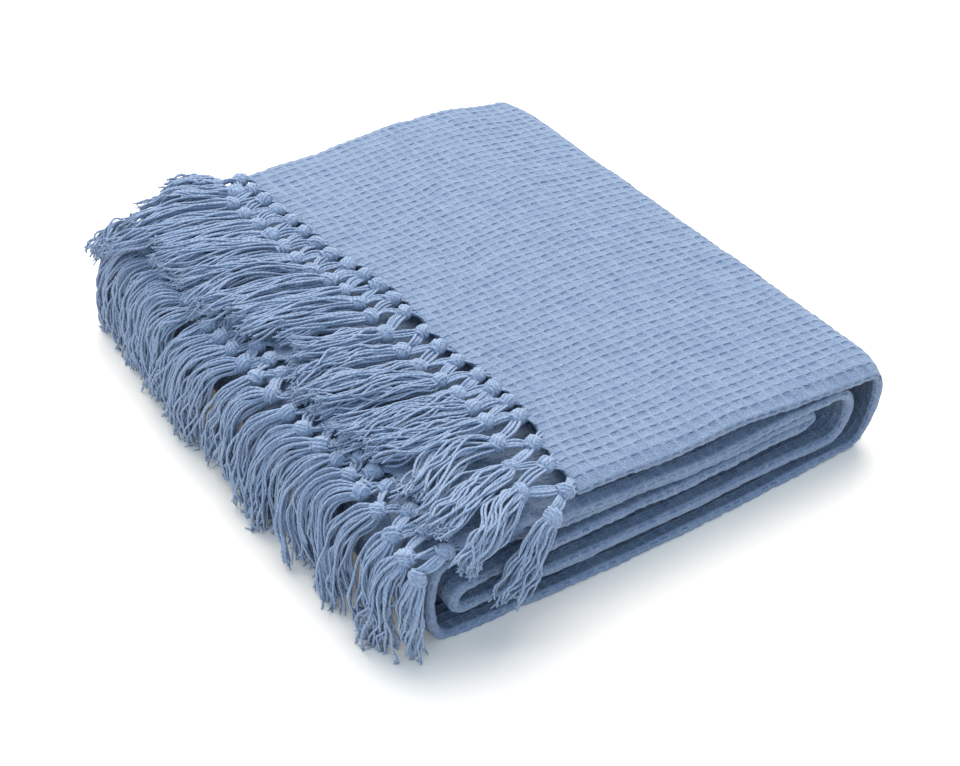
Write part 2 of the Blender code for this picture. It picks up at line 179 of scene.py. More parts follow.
# The tassels at the two corners of each fringe, by number: knot, two bends and end.
TOP_CORNERS = {
    0: ((-19, -8.0, 68), (-29, -11.5, 58), (-41, -13.0, 42), (-50, -13.5, 26)),
    1: ((-27, 12, 76.0), (-43, 4, 76.5), (-60, -6, 74.0), (-76, -13.0, 63.5)),
    KNOTS - 1: ((-20, 367, 76.5), (-34, 373, 77.0), (-54, 382, 74.5), (-70, 390, 68.0)),
    KNOTS: ((-25, 382, 77.0), (-33, 388, 78.0), (-44, 394, 78.0), (-54, 398, 76.5)),
}
LOWER_CORNERS = {
    0: ((-102.5, 0.5, 60), (-108, -1, 44), (-109, -1, 24), (-108, 0, 5)),
    KNOTS - 1: ((-92, 364, 64.5), (-105, 368, 56), (-116, 372, 32), (-118, 374, 5)),
    KNOTS: ((-89, 377, 66.5), (-98, 379, 68.0), (-108, 378, 65.0), (-117, 375, 58)),
}
# How much further to the far side than in an even row a first knot stands, by its number.
KNOT_SHIFT = (
    (0, -1.0), (2, 2.0), (3, 9.0), (6, 3.0), (9, 6.0), (10, 12.0), (12, 11.0), (14, 7.0), (16, 6.0),
    (22, 0.0),
)
# The cloth's stretches: name, zones and how far the sides swell. A zone is the cells round the cloth from
# one number up to another, and the samples that a cell has.
STRETCHES = (
    ("cloth_top", ((-1, 60, 7), (60, 62, 4), (62, 112, 1 / 5), (112, 116, 4)), 1.6),
    ("cloth_bottom", ((-1, 4, 7), (4, 57, 2), (57, 63, 4), (63, 108, 1 / 5), (108, 116, 7)), 2.4),
    ("cloth_inner", ((-1, 4, 6), (4, 54, 1 / 5), (54, 62, 3), (62, 112, 1 / 5), (112, 116, 5)), 3.0),
)
# The bundle's core, which a tassel's outer side faces away from.
CORE_LOW = np.array((-70.0, 20.0, 12.0))
CORE_HIGH = np.array((230.0, WIDTH - 20.0, 50.0))


class Pattern(Enum):
    """What the yarns of a finish do on its surface."""

    WEAVE = "weave"
    TWIST = "twist"


class End(Enum):
    """The two cut ends of the cloth, each with a fringe."""

    TOP = "top"
    LOWER = "lower"


def unit(vectors: Array) -> Array:
    """Vectors divided by their own length."""
    return vectors / np.maximum(np.linalg.norm(vectors, axis=-1, keepdims=True), 1e-9)


def smooth_step(low: float, high: float, value: Array) -> Array:
    """Rise from 0 at low to 1 at high: 3t^2 - 2t^3 of the share t of the way, held at both ends."""
    t = np.clip((value - low) / (high - low), 0, 1)
    return t * t * (3 - 2 * t)


def smooth_through(places: Array, values: Array, at: Array) -> Array:
    """Cubic curve through values at rising places.

    Each span is the Hermite cubic of its two values and of slopes taken from the neighbouring values.

    Args:
        places: rising places, (N,).
        values: values at them, (N, C).
        at: places to read, (M,).

    Returns:
        The curve at those places, (M, C).
    """
    slopes = np.gradient(values, places, axis=0)
    left = np.clip(np.searchsorted(places, at, side="right") - 1, 0, len(places) - 2)
    span = (places[left + 1] - places[left])[:, None]
    t = (at - places[left])[:, None] / span
    return (
        values[left] * (1 + 2 * t) * (1 - t) ** 2
        + slopes[left] * span * t * (1 - t) ** 2
        + values[left + 1] * t**2 * (3 - 2 * t)
        + slopes[left + 1] * span * t**2 * (t - 1)
    )


@dataclass(frozen=True)
class Wander:
    """A slow uneven field over a surface: a sum of sine waves of random direction and phase."""

    amplitude: float
    wavelength: float
    seed: int
    waves: int = 7

    def at(self, s: Array, t: Array) -> Array:
        """The field's value at each place.

        Args:
            s: first coordinate in millimetres.
            t: second coordinate in millimetres, of a shape that broadcasts with s.

        Returns:
            amplitude times the sum over waves of sin(kx s + ky t + phase), over the root of their number.
        """
        rng = np.random.default_rng(self.seed)
        total = np.zeros(np.broadcast(s, t).shape)
        for _ in range(self.waves):
            angle, phase = rng.uniform(0, 2 * np.pi, 2)
            k = 2 * np.pi / (self.wavelength * rng.uniform(0.7, 1.6))
            total += np.sin(k * (np.cos(angle) * s + np.sin(angle) * t) + phase)
        return self.amplitude * total / math.sqrt(self.waves / 2)


def bow_at(y: Array) -> Array:
    """How far the top layer's end stands back at y: the cubic curve through BOW, held past the sides."""
    table = np.array(BOW, float)
    return smooth_through(table[:, 0], table[:, 1:], np.atleast_1d(np.clip(y, 0, WIDTH)))[:, 0]


def facing(points: Array) -> Array:
    """The direction out of the bundle: from the nearest point of its core."""
    return unit(points - np.clip(points, CORE_LOW, CORE_HIGH))


def straight(start: Array, finish: Array, t: Array) -> Array:
    """Points at shares t of the way from each start to its finish, (N, S, 3)."""
    return start[:, None] * (1 - t) + finish[:, None] * t


def twisted(a: Array, b: Array, angle: Array, flat: float) -> tuple[Array, Array]:
    """Offsets a to the side and b off the bundle, turned by an angle: what a gives to b is times flat."""
    cos, sin = np.cos(angle), np.sin(angle)
    return a * cos - b * sin, a * sin * flat + b * cos


def in_scene(name: str, data: bpy.types.ID) -> bpy.types.Object:
    """A new object at the origin, linked to the scene's own collection.

    Args:
        name: its name.
        data: its mesh, light or camera.

    Returns:
        The object.
    """
    obj = bpy.data.objects.new(name, data)
    bpy.context.scene.collection.objects.link(obj)
    return obj


def hand_over(obj: bpy.types.Object, node: str) -> None:
    """Tell the frame what a piece rides on, and hide the solid that it replaces.

    Args:
        obj: the piece.
        node: the solid that it replaces.
    """
    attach(obj, "root")
    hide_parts(node)


class FoldedSection:
    """The middle surface of the folded cloth, read by length along the section and share of the width.

    Its table has the columns of RUNS and three more: how far a fold is drawn in at the sides, the share of
    the bow that is taken up, and how far the near edge rolls down.
    """

    STEP = 1.0  # between the table's rows
    SOFTEN = 2.0  # standard deviation of the softening along the section
    FULLNESS = 0.76  # power of the sine in a fold
    FOLD_STEPS = 61  # steps round a fold
    LENGTH_STEP = 1.5  # to each side of a point, for the direction along
    SHARE_STEP = 0.002  # to each side of a point, for the direction across

    def __init__(self) -> None:
        """Join the runs and folds, space their rows evenly and soften them along the section."""
        rows, starts = self._rows()
        along = np.linalg.norm(np.diff(rows[:, :2], axis=0), axis=1)
        length = np.concatenate(([0.0], np.cumsum(along)))
        self.length = float(length[-1])
        self.starts = {name: float(length[i]) for name, i in starts.items()}
        self.even = np.linspace(0, self.length, int(self.length / self.STEP) + 1)
        table = np.column_stack([np.interp(self.even, length, column) for column in rows.T])
        reach = int(4 * self.SOFTEN / self.STEP)
        weights = np.exp(-0.5 * (np.arange(-reach, reach + 1) * self.STEP / self.SOFTEN) ** 2)
        before = 2 * table[0] - table[reach:0:-1]
        after = 2 * table[-1] - table[-2:-reach - 2:-1]
        padded = np.concatenate((before, table, after))
        self.table = np.column_stack([
            np.convolve(column, weights / weights.sum(), mode="valid") for column in padded.T
        ])

    @staticmethod
    def _run(table: Array) -> Array:
        """A row for each millimetre of x along a run: the cubic curve through its table.

        Args:
            table: the run's rows in RUNS.

        Returns:
            Dense rows of the same columns, in the same direction.
        """
        rising = table if table[0, 0] < table[-1, 0] else table[::-1]
        x = np.arange(rising[0, 0], rising[-1, 0] + 0.5)
        run = np.column_stack((x, smooth_through(rising[:, 0], rising[:, 1:], x)))
        return run if rising is table else run[::-1]

    def _rows(self) -> tuple[Array, dict[str, int]]:
        """Dense rows of all runs and folds.

        A fold is a full half ellipse from the last row of one run to the first of the next: x goes out by
        reach times a power, FULLNESS, of the angle's sine.

        Returns:
            The rows, and the number of the row at which each run starts.
        """
        names = list(RUNS)
        runs = [self._run(np.array(RUNS[name], float)) for name in names]
        parts, starts = [], {}
        for i, (name, run) in enumerate(zip(names, runs)):
            starts[name] = sum(len(part) for part in parts)
            take_up = np.clip(1 - (run[:, 0] - run[0, 0]) / BOW_REACH, 0, 1) * (name == "top")
            none = np.zeros(len(run))
            parts.append(np.column_stack((run, none, take_up, none + ROLLS[name])))
            if name in FOLDS:
                reach, draw = FOLDS[name]
                angle = np.linspace(0, np.pi, self.FOLD_STEPS + 1)[1:-1, None]
                fold = run[-1] + (runs[i + 1][0] - run[-1]) * (1 - np.cos(angle)) / 2
                fold[:, 0] += reach * np.sin(angle[:, 0]) ** self.FULLNESS
                drawn = -np.sign(reach) * draw * np.sin(angle)
                rolled = ROLLS[name] + (ROLLS[names[i + 1]] - ROLLS[name]) * angle / np.pi
                parts.append(np.column_stack((fold, drawn, np.zeros(angle.shape), rolled)))
        return np.concatenate(parts), starts

    def middle(self, s: Array, share: Array) -> Array:
        """Points of the middle surface.

        Near a side a layer hangs by its sag times (1 - distance / SAG_REACH) squared, and is drawn in the
        same way. Its near edge also rolls down by (1 - distance / ROLL_REACH) squared. The top layer's end
        takes up the bow.

        Args:
            s: length along the section from the top end, (S, T).
            share: share of the width from the near side, (S, T).

        Returns:
            Points in millimetres, (S, T, 3).
        """
        columns = [np.interp(s, self.even, column) for column in self.table.T]
        x, z, near_sag, far_sag, near_edge, far_edge, skew, draw, take_up, roll = columns
        y = share * WIDTH
        near = np.clip(1 - y / SAG_REACH, 0, 1) ** 2
        far = np.clip(1 - (WIDTH - y) / SAG_REACH, 0, 1) ** 2
        bow = bow_at(y.ravel()).reshape(y.shape)
        return np.stack((
            x + draw * (near + far) + skew * (0.5 - share) + bow * take_up,
            near_edge + share * (WIDTH + far_edge - near_edge),
            z - near_sag * near - far_sag * far - roll * np.clip(1 - y / ROLL_REACH, 0, 1) ** 2,
        ), axis=-1)

    def frames(self, s: Array, share: Array) -> tuple[Array, Array, Array, Array]:
        """Points of the middle surface with their directions.

        Args:
            s: length along the section, (S, T).
            share: share of the width, (S, T).

        Returns:
            Points, the direction along the section, the direction across it from near to far, and the
            direction out of the outer face: the first direction crossed with the second.
        """
        ahead = self.middle(np.minimum(s + self.LENGTH_STEP, self.length), share)
        behind = self.middle(np.maximum(s - self.LENGTH_STEP, 0), share)
        along = unit(ahead - behind)
        across = self.middle(s, share + self.SHARE_STEP) - self.middle(s, share - self.SHARE_STEP)
        across = unit(across - along * (across * along).sum(-1, keepdims=True))
        return self.middle(s, share), along, across, np.cross(along, across)


@dataclass(frozen=True)
class WaffleWeave:
    """The waffle's cells: square pits between ridges, counted along the section and round the cloth.

    A wall is given by the two places in a cell between which it stands, 0 at the near ridge and 1 at the
    far one. The cross wall's places are counted from the middle of the cell out along the section.
    """

    cell_along: float = 7.9
    cell_round: float = 6.5
    depth: float = 0.67
    cross_ridge: float = 0.9
    spread: float = 0.34
    steep_wall: tuple[float, float] = (0.7, 0.88)
    gentle_wall: tuple[float, float] = (0.0, 0.42)
    cross_wall: tuple[float, float] = (0.35, 0.9)
    seed: int = 5

    def cell_on(self, length: float) -> float:
        """The length of a cell where a whole number of cells fills that length."""
        return length / round(length / self.cell_along)

    def relief(self, u: Array, v: Array, facing_up: Array) -> Array:
        """Depth of the surface under the ridges.

        In a cell, a pit slopes gently down from the near ridge and ends at a steep wall under the far ridge.
        Between it and the next pit along the section stands a cross ridge. Each cell has its own depth.

        Args:
            u: place along the section, in cells.
            v: place round the cloth, in cells.
            facing_up: True on the face whose cells run from near to far.

        Returns:
            Millimetres inwards, 0 on the ridges.
        """
        p = np.abs(2 * (u - np.floor(u)) - 1)
        q = np.where(facing_up, v - np.floor(v), np.ceil(v) - v)
        walls = np.maximum(smooth_step(*self.steep_wall, q), 1 - smooth_step(*self.gentle_wall, q))
        height = 1 - (1 - walls) * (1 - self.cross_ridge * smooth_step(*self.cross_wall, p))
        rng = np.random.default_rng(self.seed)
        table = 1 + self.spread * np.clip(rng.standard_normal((256, 128)), -2, 1.6)
        own = table[np.floor(u).astype(int) % 256, np.floor(v).astype(int) % 128]
        return self.depth * own * (1 - height)


class MeshBatch:
    """Points and faces of one mesh, gathered as whole arrays, with a UV for each corner."""

    def __init__(self) -> None:
        """Start with no surface."""
        self.parts: list[tuple[Array, ...]] = []
        self.count = 0

    def add(self, points: Array, quads: Array, quad_uv: Array, tris: Array, tri_uv: Array) -> None:
        """Keep a surface.

        Args:
            points: (N, 3).
            quads: (Q, 4) numbers of points.
            quad_uv: (Q, 4, 2).
            tris: (T, 3) numbers of points.
            tri_uv: (T, 3, 2).
        """
        uvs = (quad_uv.reshape(-1, 2), tri_uv.reshape(-1, 2))
        self.parts.append((points, quads + self.count, tris + self.count, *uvs))
        self.count += len(points)

    def triangles(self) -> int:
        """Number of triangles."""
        return sum(2 * len(quads) + len(tris) for _, quads, tris, *_ in self.parts)

    def build(self, name: str, shift: Array, material: bpy.types.Material) -> bpy.types.Object:
        """Make the object, at the origin, with its place in its mesh.

        Args:
            name: the piece's name.
            shift: what is added to every point, in millimetres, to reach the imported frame.
            material: the piece's material.

        Returns:
            The new object.
        """
        points, quads, tris, *uvs = (np.concatenate(column) for column in zip(*self.parts))
        mesh = bpy.data.meshes.new(name)
        mesh.vertices.add(len(points))
        mesh.vertices.foreach_set("co", ((points + shift) * MM).astype(np.float32).ravel())
        corners = np.concatenate((quads.ravel(), tris.ravel())).astype(np.int32)
        mesh.loops.add(len(corners))
        mesh.loops.foreach_set("vertex_index", corners)
        totals = np.concatenate((np.full(len(quads), 4), np.full(len(tris), 3)))
        starts = np.concatenate(([0], np.cumsum(totals)[:-1]))
        mesh.polygons.add(len(totals))
        mesh.polygons.foreach_set("loop_start", starts.astype(np.int32))
        mesh.update(calc_edges=True)
        mesh.polygons.foreach_set("use_smooth", np.ones(len(totals), bool))
        weave = np.concatenate(uvs).astype(np.float32)
        mesh.uv_layers.new(name="weave").data.foreach_set("uv", weave.ravel())
        mesh.materials.append(material)
        mesh.update()
        return in_scene(name, mesh)


def tube_corners(rows: int, columns: int) -> tuple[Array, Array]:
    """Row and column of the corners of a tube's faces, row by row.

    Args:
        rows: rings of points.
        columns: points in a ring. Past the last one comes the first again, under this number.

    Returns:
        Two arrays of numbers, (faces, 4).
    """
    grid = np.meshgrid(np.arange(rows - 1), np.arange(columns), indexing="ij")
    i, j = (numbers.ravel() for numbers in grid)
    return np.stack((i, i, i + 1, i + 1), -1), np.stack((j, j + 1, j + 1, j), -1)


def tube_faces(rows: int, columns: int) -> Array:
    """Numbers of the points at the corners of a tube's faces, (faces, 4)."""
    row, column = tube_corners(rows, columns)
    return row * columns + column % columns


def copies(faces: Array, count: int, size: int) -> Array:
    """The faces of one body, repeated for a count of bodies that have size points each."""
    offsets = np.arange(count)[:, None, None] * size
    return (faces[None] + offsets).reshape(-1, faces.shape[1])


@dataclass(frozen=True)
class ClothStretch:
    """One stretch of the cloth along its section, as a closed mesh: two faces, two rims and two ends.

    The cloth is cut into stretches at ridges that lie inside the bundle, so that no mesh grows too heavy.
    """

    name: str
    first_cell: int
    last_cell: int
    zones: tuple[Triple, ...]
    swell: float
    section: FoldedSection
    weave: WaffleWeave

    ROWS_A_CELL = 5
    LEVEL = 0.02  # a smaller lift or side counts as none
    END_TAPER = 3.2  # length over which the cloth's cut end rounds off
    ALONG_WANDER = Wander(0.55, 70, 21)
    ACROSS_WANDER = Wander(0.45, 60, 22)
    SLOW_PUFF = Wander(0.45, 46, 23)
    FINE_PUFF = Wander(0.2, 11, 24)
    MEAN_PUFF = 0.2
    WANDER_APART = 400  # how far off the inner face reads a field, to differ from the outer one
    PUFF_APART = 300
    END_FADE = 10  # length from an end over which the cells' wandering fades
    SIDE_FADE = 12  # width from a side over which it fades
    MEET_SWELL = 1.6  # swell of the sides where two stretches meet
    MEET_REACH = 16
    SWELL_REACH = 9  # from a side inwards
    RIM_DEPTH = 0.7  # share of the waffle's depth that the rims have
    RELIEF_FADE = 4  # length from an end over which the relief grows

    @property
    def cells_round(self) -> int:
        """Whole cells round both faces and both rims."""
        return round((2 * (WIDTH - THICK) + math.pi * THICK) / self.weave.cell_round)

    def profile(self, v: Array) -> tuple[Array, Array, Array]:
        """The cloth's outline across its width, a stadium.

        Args:
            v: places round the cloth in cells, 0 where the outer face starts at the near side.

        Returns:
            Share of the width, and the offsets off the middle surface and across it, in half thicknesses.
        """
        flat, rim = WIDTH - THICK, math.pi * THICK / 2
        t = (v % self.cells_round) * (2 * flat + 2 * rim) / self.cells_round
        inset = THICK / 2 / WIDTH
        parts = (t < flat, t < flat + rim, t < 2 * flat + rim)  # outer face, far rim, inner face
        far = (t - flat) / rim * np.pi
        near = (t - 2 * flat - rim) / rim * np.pi
        across = np.select(parts, (t / flat, 1.0, 1 - (t - flat - rim) / flat), 0.0)
        lift = np.select(parts, (1.0, np.cos(far), -1.0), -np.cos(near))
        side = np.select(parts, (0.0, np.sin(far), 0.0), -np.sin(near))
        return inset + across * (1 - 2 * inset), lift, side

    def surface(self) -> tuple[Array, Array, Array]:
        """The stretch's points.

        A point is the middle surface plus half the thickness along the profile's own direction, less the
        waffle's depth along it. The whole wanders a little, as worn cloth does, and swells near the sides,
        where it isn't pressed.

        Returns:
            Points (S, T, 3), places along in cells (S,), places round in cells (T,).
        """
        length = self.section.length
        rows = np.arange((self.last_cell - self.first_cell) * self.ROWS_A_CELL + 1)
        u = rows / self.ROWS_A_CELL + self.first_cell
        v = np.concatenate([np.arange(round((b - a) * n)) / n + a for a, b, n in self.zones])
        share, lift, side = self.profile(v)
        s = np.broadcast_to((u * self.weave.cell_on(length))[:, None], (len(u), len(v)))
        across = share[None, :] * WIDTH
        from_end, from_side = np.minimum(s, length - s), np.minimum(across, WIDTH - across)
        inside = smooth_step(0, self.END_FADE, s) * smooth_step(0, self.END_FADE, length - s)
        shift = self.ALONG_WANDER.at(s, across + self.WANDER_APART * (lift < 0)) * inside
        cross_shift = self.ACROSS_WANDER.at(s, across) * smooth_step(0, self.SIDE_FADE, across)
        cross_shift = cross_shift * smooth_step(0, self.SIDE_FADE, WIDTH - across)
        point, _, across_dir, off = self.section.frames(
            np.clip(s + shift, 0, length), share[None, :] + cross_shift / WIDTH,
        )
        direction = off * lift[None, :, None] + across_dir * side[None, :, None]
        round_end = np.sqrt(np.clip(1 - (1 - np.clip(from_end / self.END_TAPER, 0, 1)) ** 2, 0, 1))
        half = THICK / 2 * (0.5 + 0.5 * round_end)
        puff = self.SLOW_PUFF.at(s, across + self.PUFF_APART * (lift < 0)) + self.FINE_PUFF.at(s, across)
        meets = smooth_step(0, self.MEET_REACH, s - s.min()) * smooth_step(0, self.MEET_REACH, s.max() - s)
        swell = self.MEET_SWELL + (self.swell - self.MEET_SWELL) * meets
        puff = puff + self.MEAN_PUFF + swell * np.exp(-((from_side / self.SWELL_REACH) ** 2))
        depth = self.weave.relief(u[:, None], v[None, :], (lift > -self.LEVEL)[None, :])
        depth = depth * smooth_step(0, self.RELIEF_FADE, from_end)
        depth = depth * np.where(np.abs(side) > self.LEVEL, self.RIM_DEPTH, 1.0)[None, :]
        point = point + direction * (half + puff * 0.5 - depth)[..., None]
        point[..., 2] = np.maximum(point[..., 2], 0.0)
        return point, u, v

    def build_mesh(self) -> MeshBatch:
        """The stretch as a closed mesh: the grid and an end on each side, zipped between the two faces.

        Returns:
            A batch that holds the mesh, with places in cells as UV, negative on the inner face.
        """
        points, u, v = self.surface()
        rows, columns = points.shape[:2]
        share, lift, side = self.profile(v)
        hand = np.where(lift > -self.LEVEL, 1.0, -1.0)
        corner_v = np.append(v, v[0] + self.cells_round)
        row, column = tube_corners(rows, columns)
        uv = np.stack((u[row], hand[column[:, :1]] * corner_v[column]), -1)
        across = share * WIDTH + side * THICK / 2
        near, far = int(np.argmin(across)), int(np.argmax(across))
        outer = (near + np.arange((far - near) % columns + 1)) % columns
        inner = np.setdiff1d(np.arange(columns), outer)
        cap = self.zipped(outer, inner[np.argsort(across[inner], kind="stable")], across)
        tris = np.concatenate((cap, cap[:, ::-1] + (rows - 1) * columns))
        cap_u = np.repeat((u[0], u[-1]), len(cap))[:, None] * np.ones(3)
        cap_uv = np.stack((cap_u, corner_v[tris % columns]), -1)
        batch = MeshBatch()
        batch.add(points.reshape(-1, 3), tube_faces(rows, columns)[:, ::-1], uv[:, ::-1], tris, cap_uv)
        return batch

    @staticmethod
    def zipped(outer: Array, inner: Array, across: Array) -> Array:
        """Triangles between two rows of points that run the same way.

        The two rows are merged by their places. Each point closes a triangle with the one before it in its
        own row and the last one of the other row.

        Args:
            outer: numbers of the first row's points, both ends included.
            inner: numbers of the second row's points, between those ends.
            across: the place of every point.

        Returns:
            (triangles, 3) numbers.
        """
        both = np.concatenate((outer, inner))
        second = np.concatenate((np.zeros(len(outer), bool), np.ones(len(inner), bool)))
        order = np.argsort(across[both] + 1e-6 * second, kind="stable")
        second = second[order]
        a, b = np.cumsum(~second) - 1, np.cumsum(second) - 1
        on_first = ~second & (a >= 1)
        on_second = second & (b >= 1)
        first = np.stack((outer[a[on_first] - 1], outer[a[on_first]], inner[np.maximum(b[on_first], 0)]), -1)
        other = np.stack((inner[b[on_second] - 1], outer[a[on_second]], inner[b[on_second]]), -1)
        return np.concatenate((first, other))


class YarnSpinner:
    """Sweeps yarns along paths into one mesh."""

    SIDES = 5
    CORE_RINGS = 9
    CORE_SIDES = 14

    def __init__(self) -> None:
        """Start with an empty mesh."""
        self.batch = MeshBatch()

    def sweep(self, paths: Array, radii: Array, sides: int = SIDES) -> None:
        """Add a tube round each path, closed at both ends.

        The ring at a point is the radius times cos and sin of the angle on two directions square to the
        path. The first direction is carried along the path by taking out its part along each new tangent.

        Args:
            paths: (N, S, 3) points.
            radii: (N, S) radii.
            sides: points in a ring.
        """
        count, length = paths.shape[:2]
        tangent = unit(np.gradient(paths, axis=1))
        upright = np.abs(tangent[:, 0, 2:]) < 0.8
        normal = np.where(upright, np.array([[0, 0, 1.0]]), np.array([[1.0, 0, 0]]))
        normals = np.empty_like(paths)
        for k in range(length):
            normal = unit(normal - tangent[:, k] * (normal * tangent[:, k]).sum(-1, keepdims=True))
            normals[:, k] = normal
        other = np.cross(tangent, normals)
        angle = (2 * np.pi * np.arange(sides) / sides)[:, None]
        circle = np.cos(angle) * normals[:, :, None] + np.sin(angle) * other[:, :, None]
        ring = paths[:, :, None] + radii[:, :, None, None] * circle
        steps = np.linalg.norm(np.diff(paths, axis=1), axis=-1)
        run = np.concatenate((np.zeros((count, 1)), np.cumsum(steps, axis=1)), axis=1)
        row, column = tube_corners(length, sides)
        along = run[:, row]
        uv = np.stack((np.broadcast_to(column / sides, along.shape), along), -1)
        fan = np.array([(0, k + 1, k) for k in range(1, sides - 1)])
        caps = np.concatenate((fan, fan[:, ::-1] + (length - 1) * sides))
        cap_along = np.repeat(run[:, [0, -1]], len(fan), axis=1).reshape(-1, 1) * np.ones(3)
        cap_uv = np.stack((np.full(cap_along.shape, 0.5), cap_along), -1)
        quads = copies(tube_faces(length, sides), count, length * sides)
        self.batch.add(ring.reshape(-1, 3), quads, uv, copies(caps, count, length * sides), cap_uv)

    def cores(self, middle: Array, axes: Array, sizes: Array) -> None:
        """Add a closed egg inside each knot.

        A point is the middle plus the three axes times their sizes times (cos a, sin a cos b, sin a sin b).

        Args:
            middle: (K, 3).
            axes: (K, 3, 3), one direction in each row.
            sizes: (K, 3) half lengths.
        """
        rings, around = self.CORE_RINGS, self.CORE_SIDES
        a = np.linspace(0, np.pi, rings + 2)[1:-1, None]
        b = 2 * np.pi * np.arange(around) / around
        ball = np.stack((np.cos(a) * np.ones(around), np.sin(a) * np.cos(b), np.sin(a) * np.sin(b)), -1)
        ball = np.concatenate((ball.reshape(-1, 3), [[1.0, 0, 0], [-1.0, 0, 0]]))
        points = middle[:, None] + np.einsum("nj,kj,kjc->knc", ball, sizes, axes)
        ring = np.arange(around)
        turn = (ring + 1) % around
        first = np.stack((ring, np.full(around, len(ball) - 2), turn), -1)
        last = np.stack((ring, turn, np.full(around, len(ball) - 1)), -1)
        poles = np.concatenate((first, last + np.array([1, 1, 0]) * (rings - 1) * around))
        quads, tris = (
            copies(faces, len(middle), len(ball)) for faces in (tube_faces(rings, around), poles)
        )
        quad_uv, tri_uv = (np.full((*faces.shape, 2), 0.5) for faces in (quads, tris))
        self.batch.add(points.reshape(-1, 3), quads, quad_uv, tris, tri_uv)


@dataclass(frozen=True)
class Knots:
    """A row of knots, each with its own middle and directions."""

    middle: Array
    along: Array
    side: Array
    off: Array


@dataclass(frozen=True)
class Band:
    """A band of yarns round a knot."""

    lean: tuple[float, float]  # least and most degrees that it leans
    wraps: int
    spread: float  # share of the knot's half length
    grow: float  # how far out past the knot's own size it lies
    hand: int  # the way it leans, 1 or -1


@dataclass(frozen=True)
class Looseness:
    """How far a tassel and its yarns stray, as standard deviations in millimetres."""

    swing: float = 6.0  # the tassel's end
    bow: float = 1.0  # the tassel between its ends
    part: float = 2.9  # a lock's end
    shared: float = 3.0  # a lock's waves
    wave: float = 1.75  # a yarn's slow waves
    kink: float = 1.15  # its short ones
    curl: float = 1.2  # its end
    stray: float = 2.2  # a stray yarn between its ends


class TasselLine:
    """The smooth line of one tassel with its directions, read at shares of its length."""

    SAMPLES = 60

    def __init__(self, points: Array) -> None:
        """Draw the cubic curve through the line's points.

        Args:
            points: from the knot to the end, (4, 3).
        """
        places = np.concatenate(([0], np.cumsum(np.linalg.norm(np.diff(points, axis=0), axis=1))))
        self.length = places[-1]
        self.centre = smooth_through(places, points, np.linspace(0, 1, self.SAMPLES) * self.length)
        self.heading = unit(self.centre[-1] - self.centre[-4])
        tangent = unit(np.gradient(self.centre, axis=0))
        self.side = unit(np.cross(tangent, facing(self.centre)))
        self.off = np.cross(self.side, tangent)

    def read(self, table: Array, share: Array) -> Array:
        """Rows of one of the line's tables, between its samples.

        Args:
            table: the centre, the side or the off directions.
            share: shares of the length, (N, S).

        Returns:
            The rows there, (N, S, 3).
        """
        where = share * (self.SAMPLES - 1)
        low = np.minimum(where.astype(int), self.SAMPLES - 2)
        part = (where - low)[..., None]
        return table[low] * (1 - part) + table[low + 1] * part


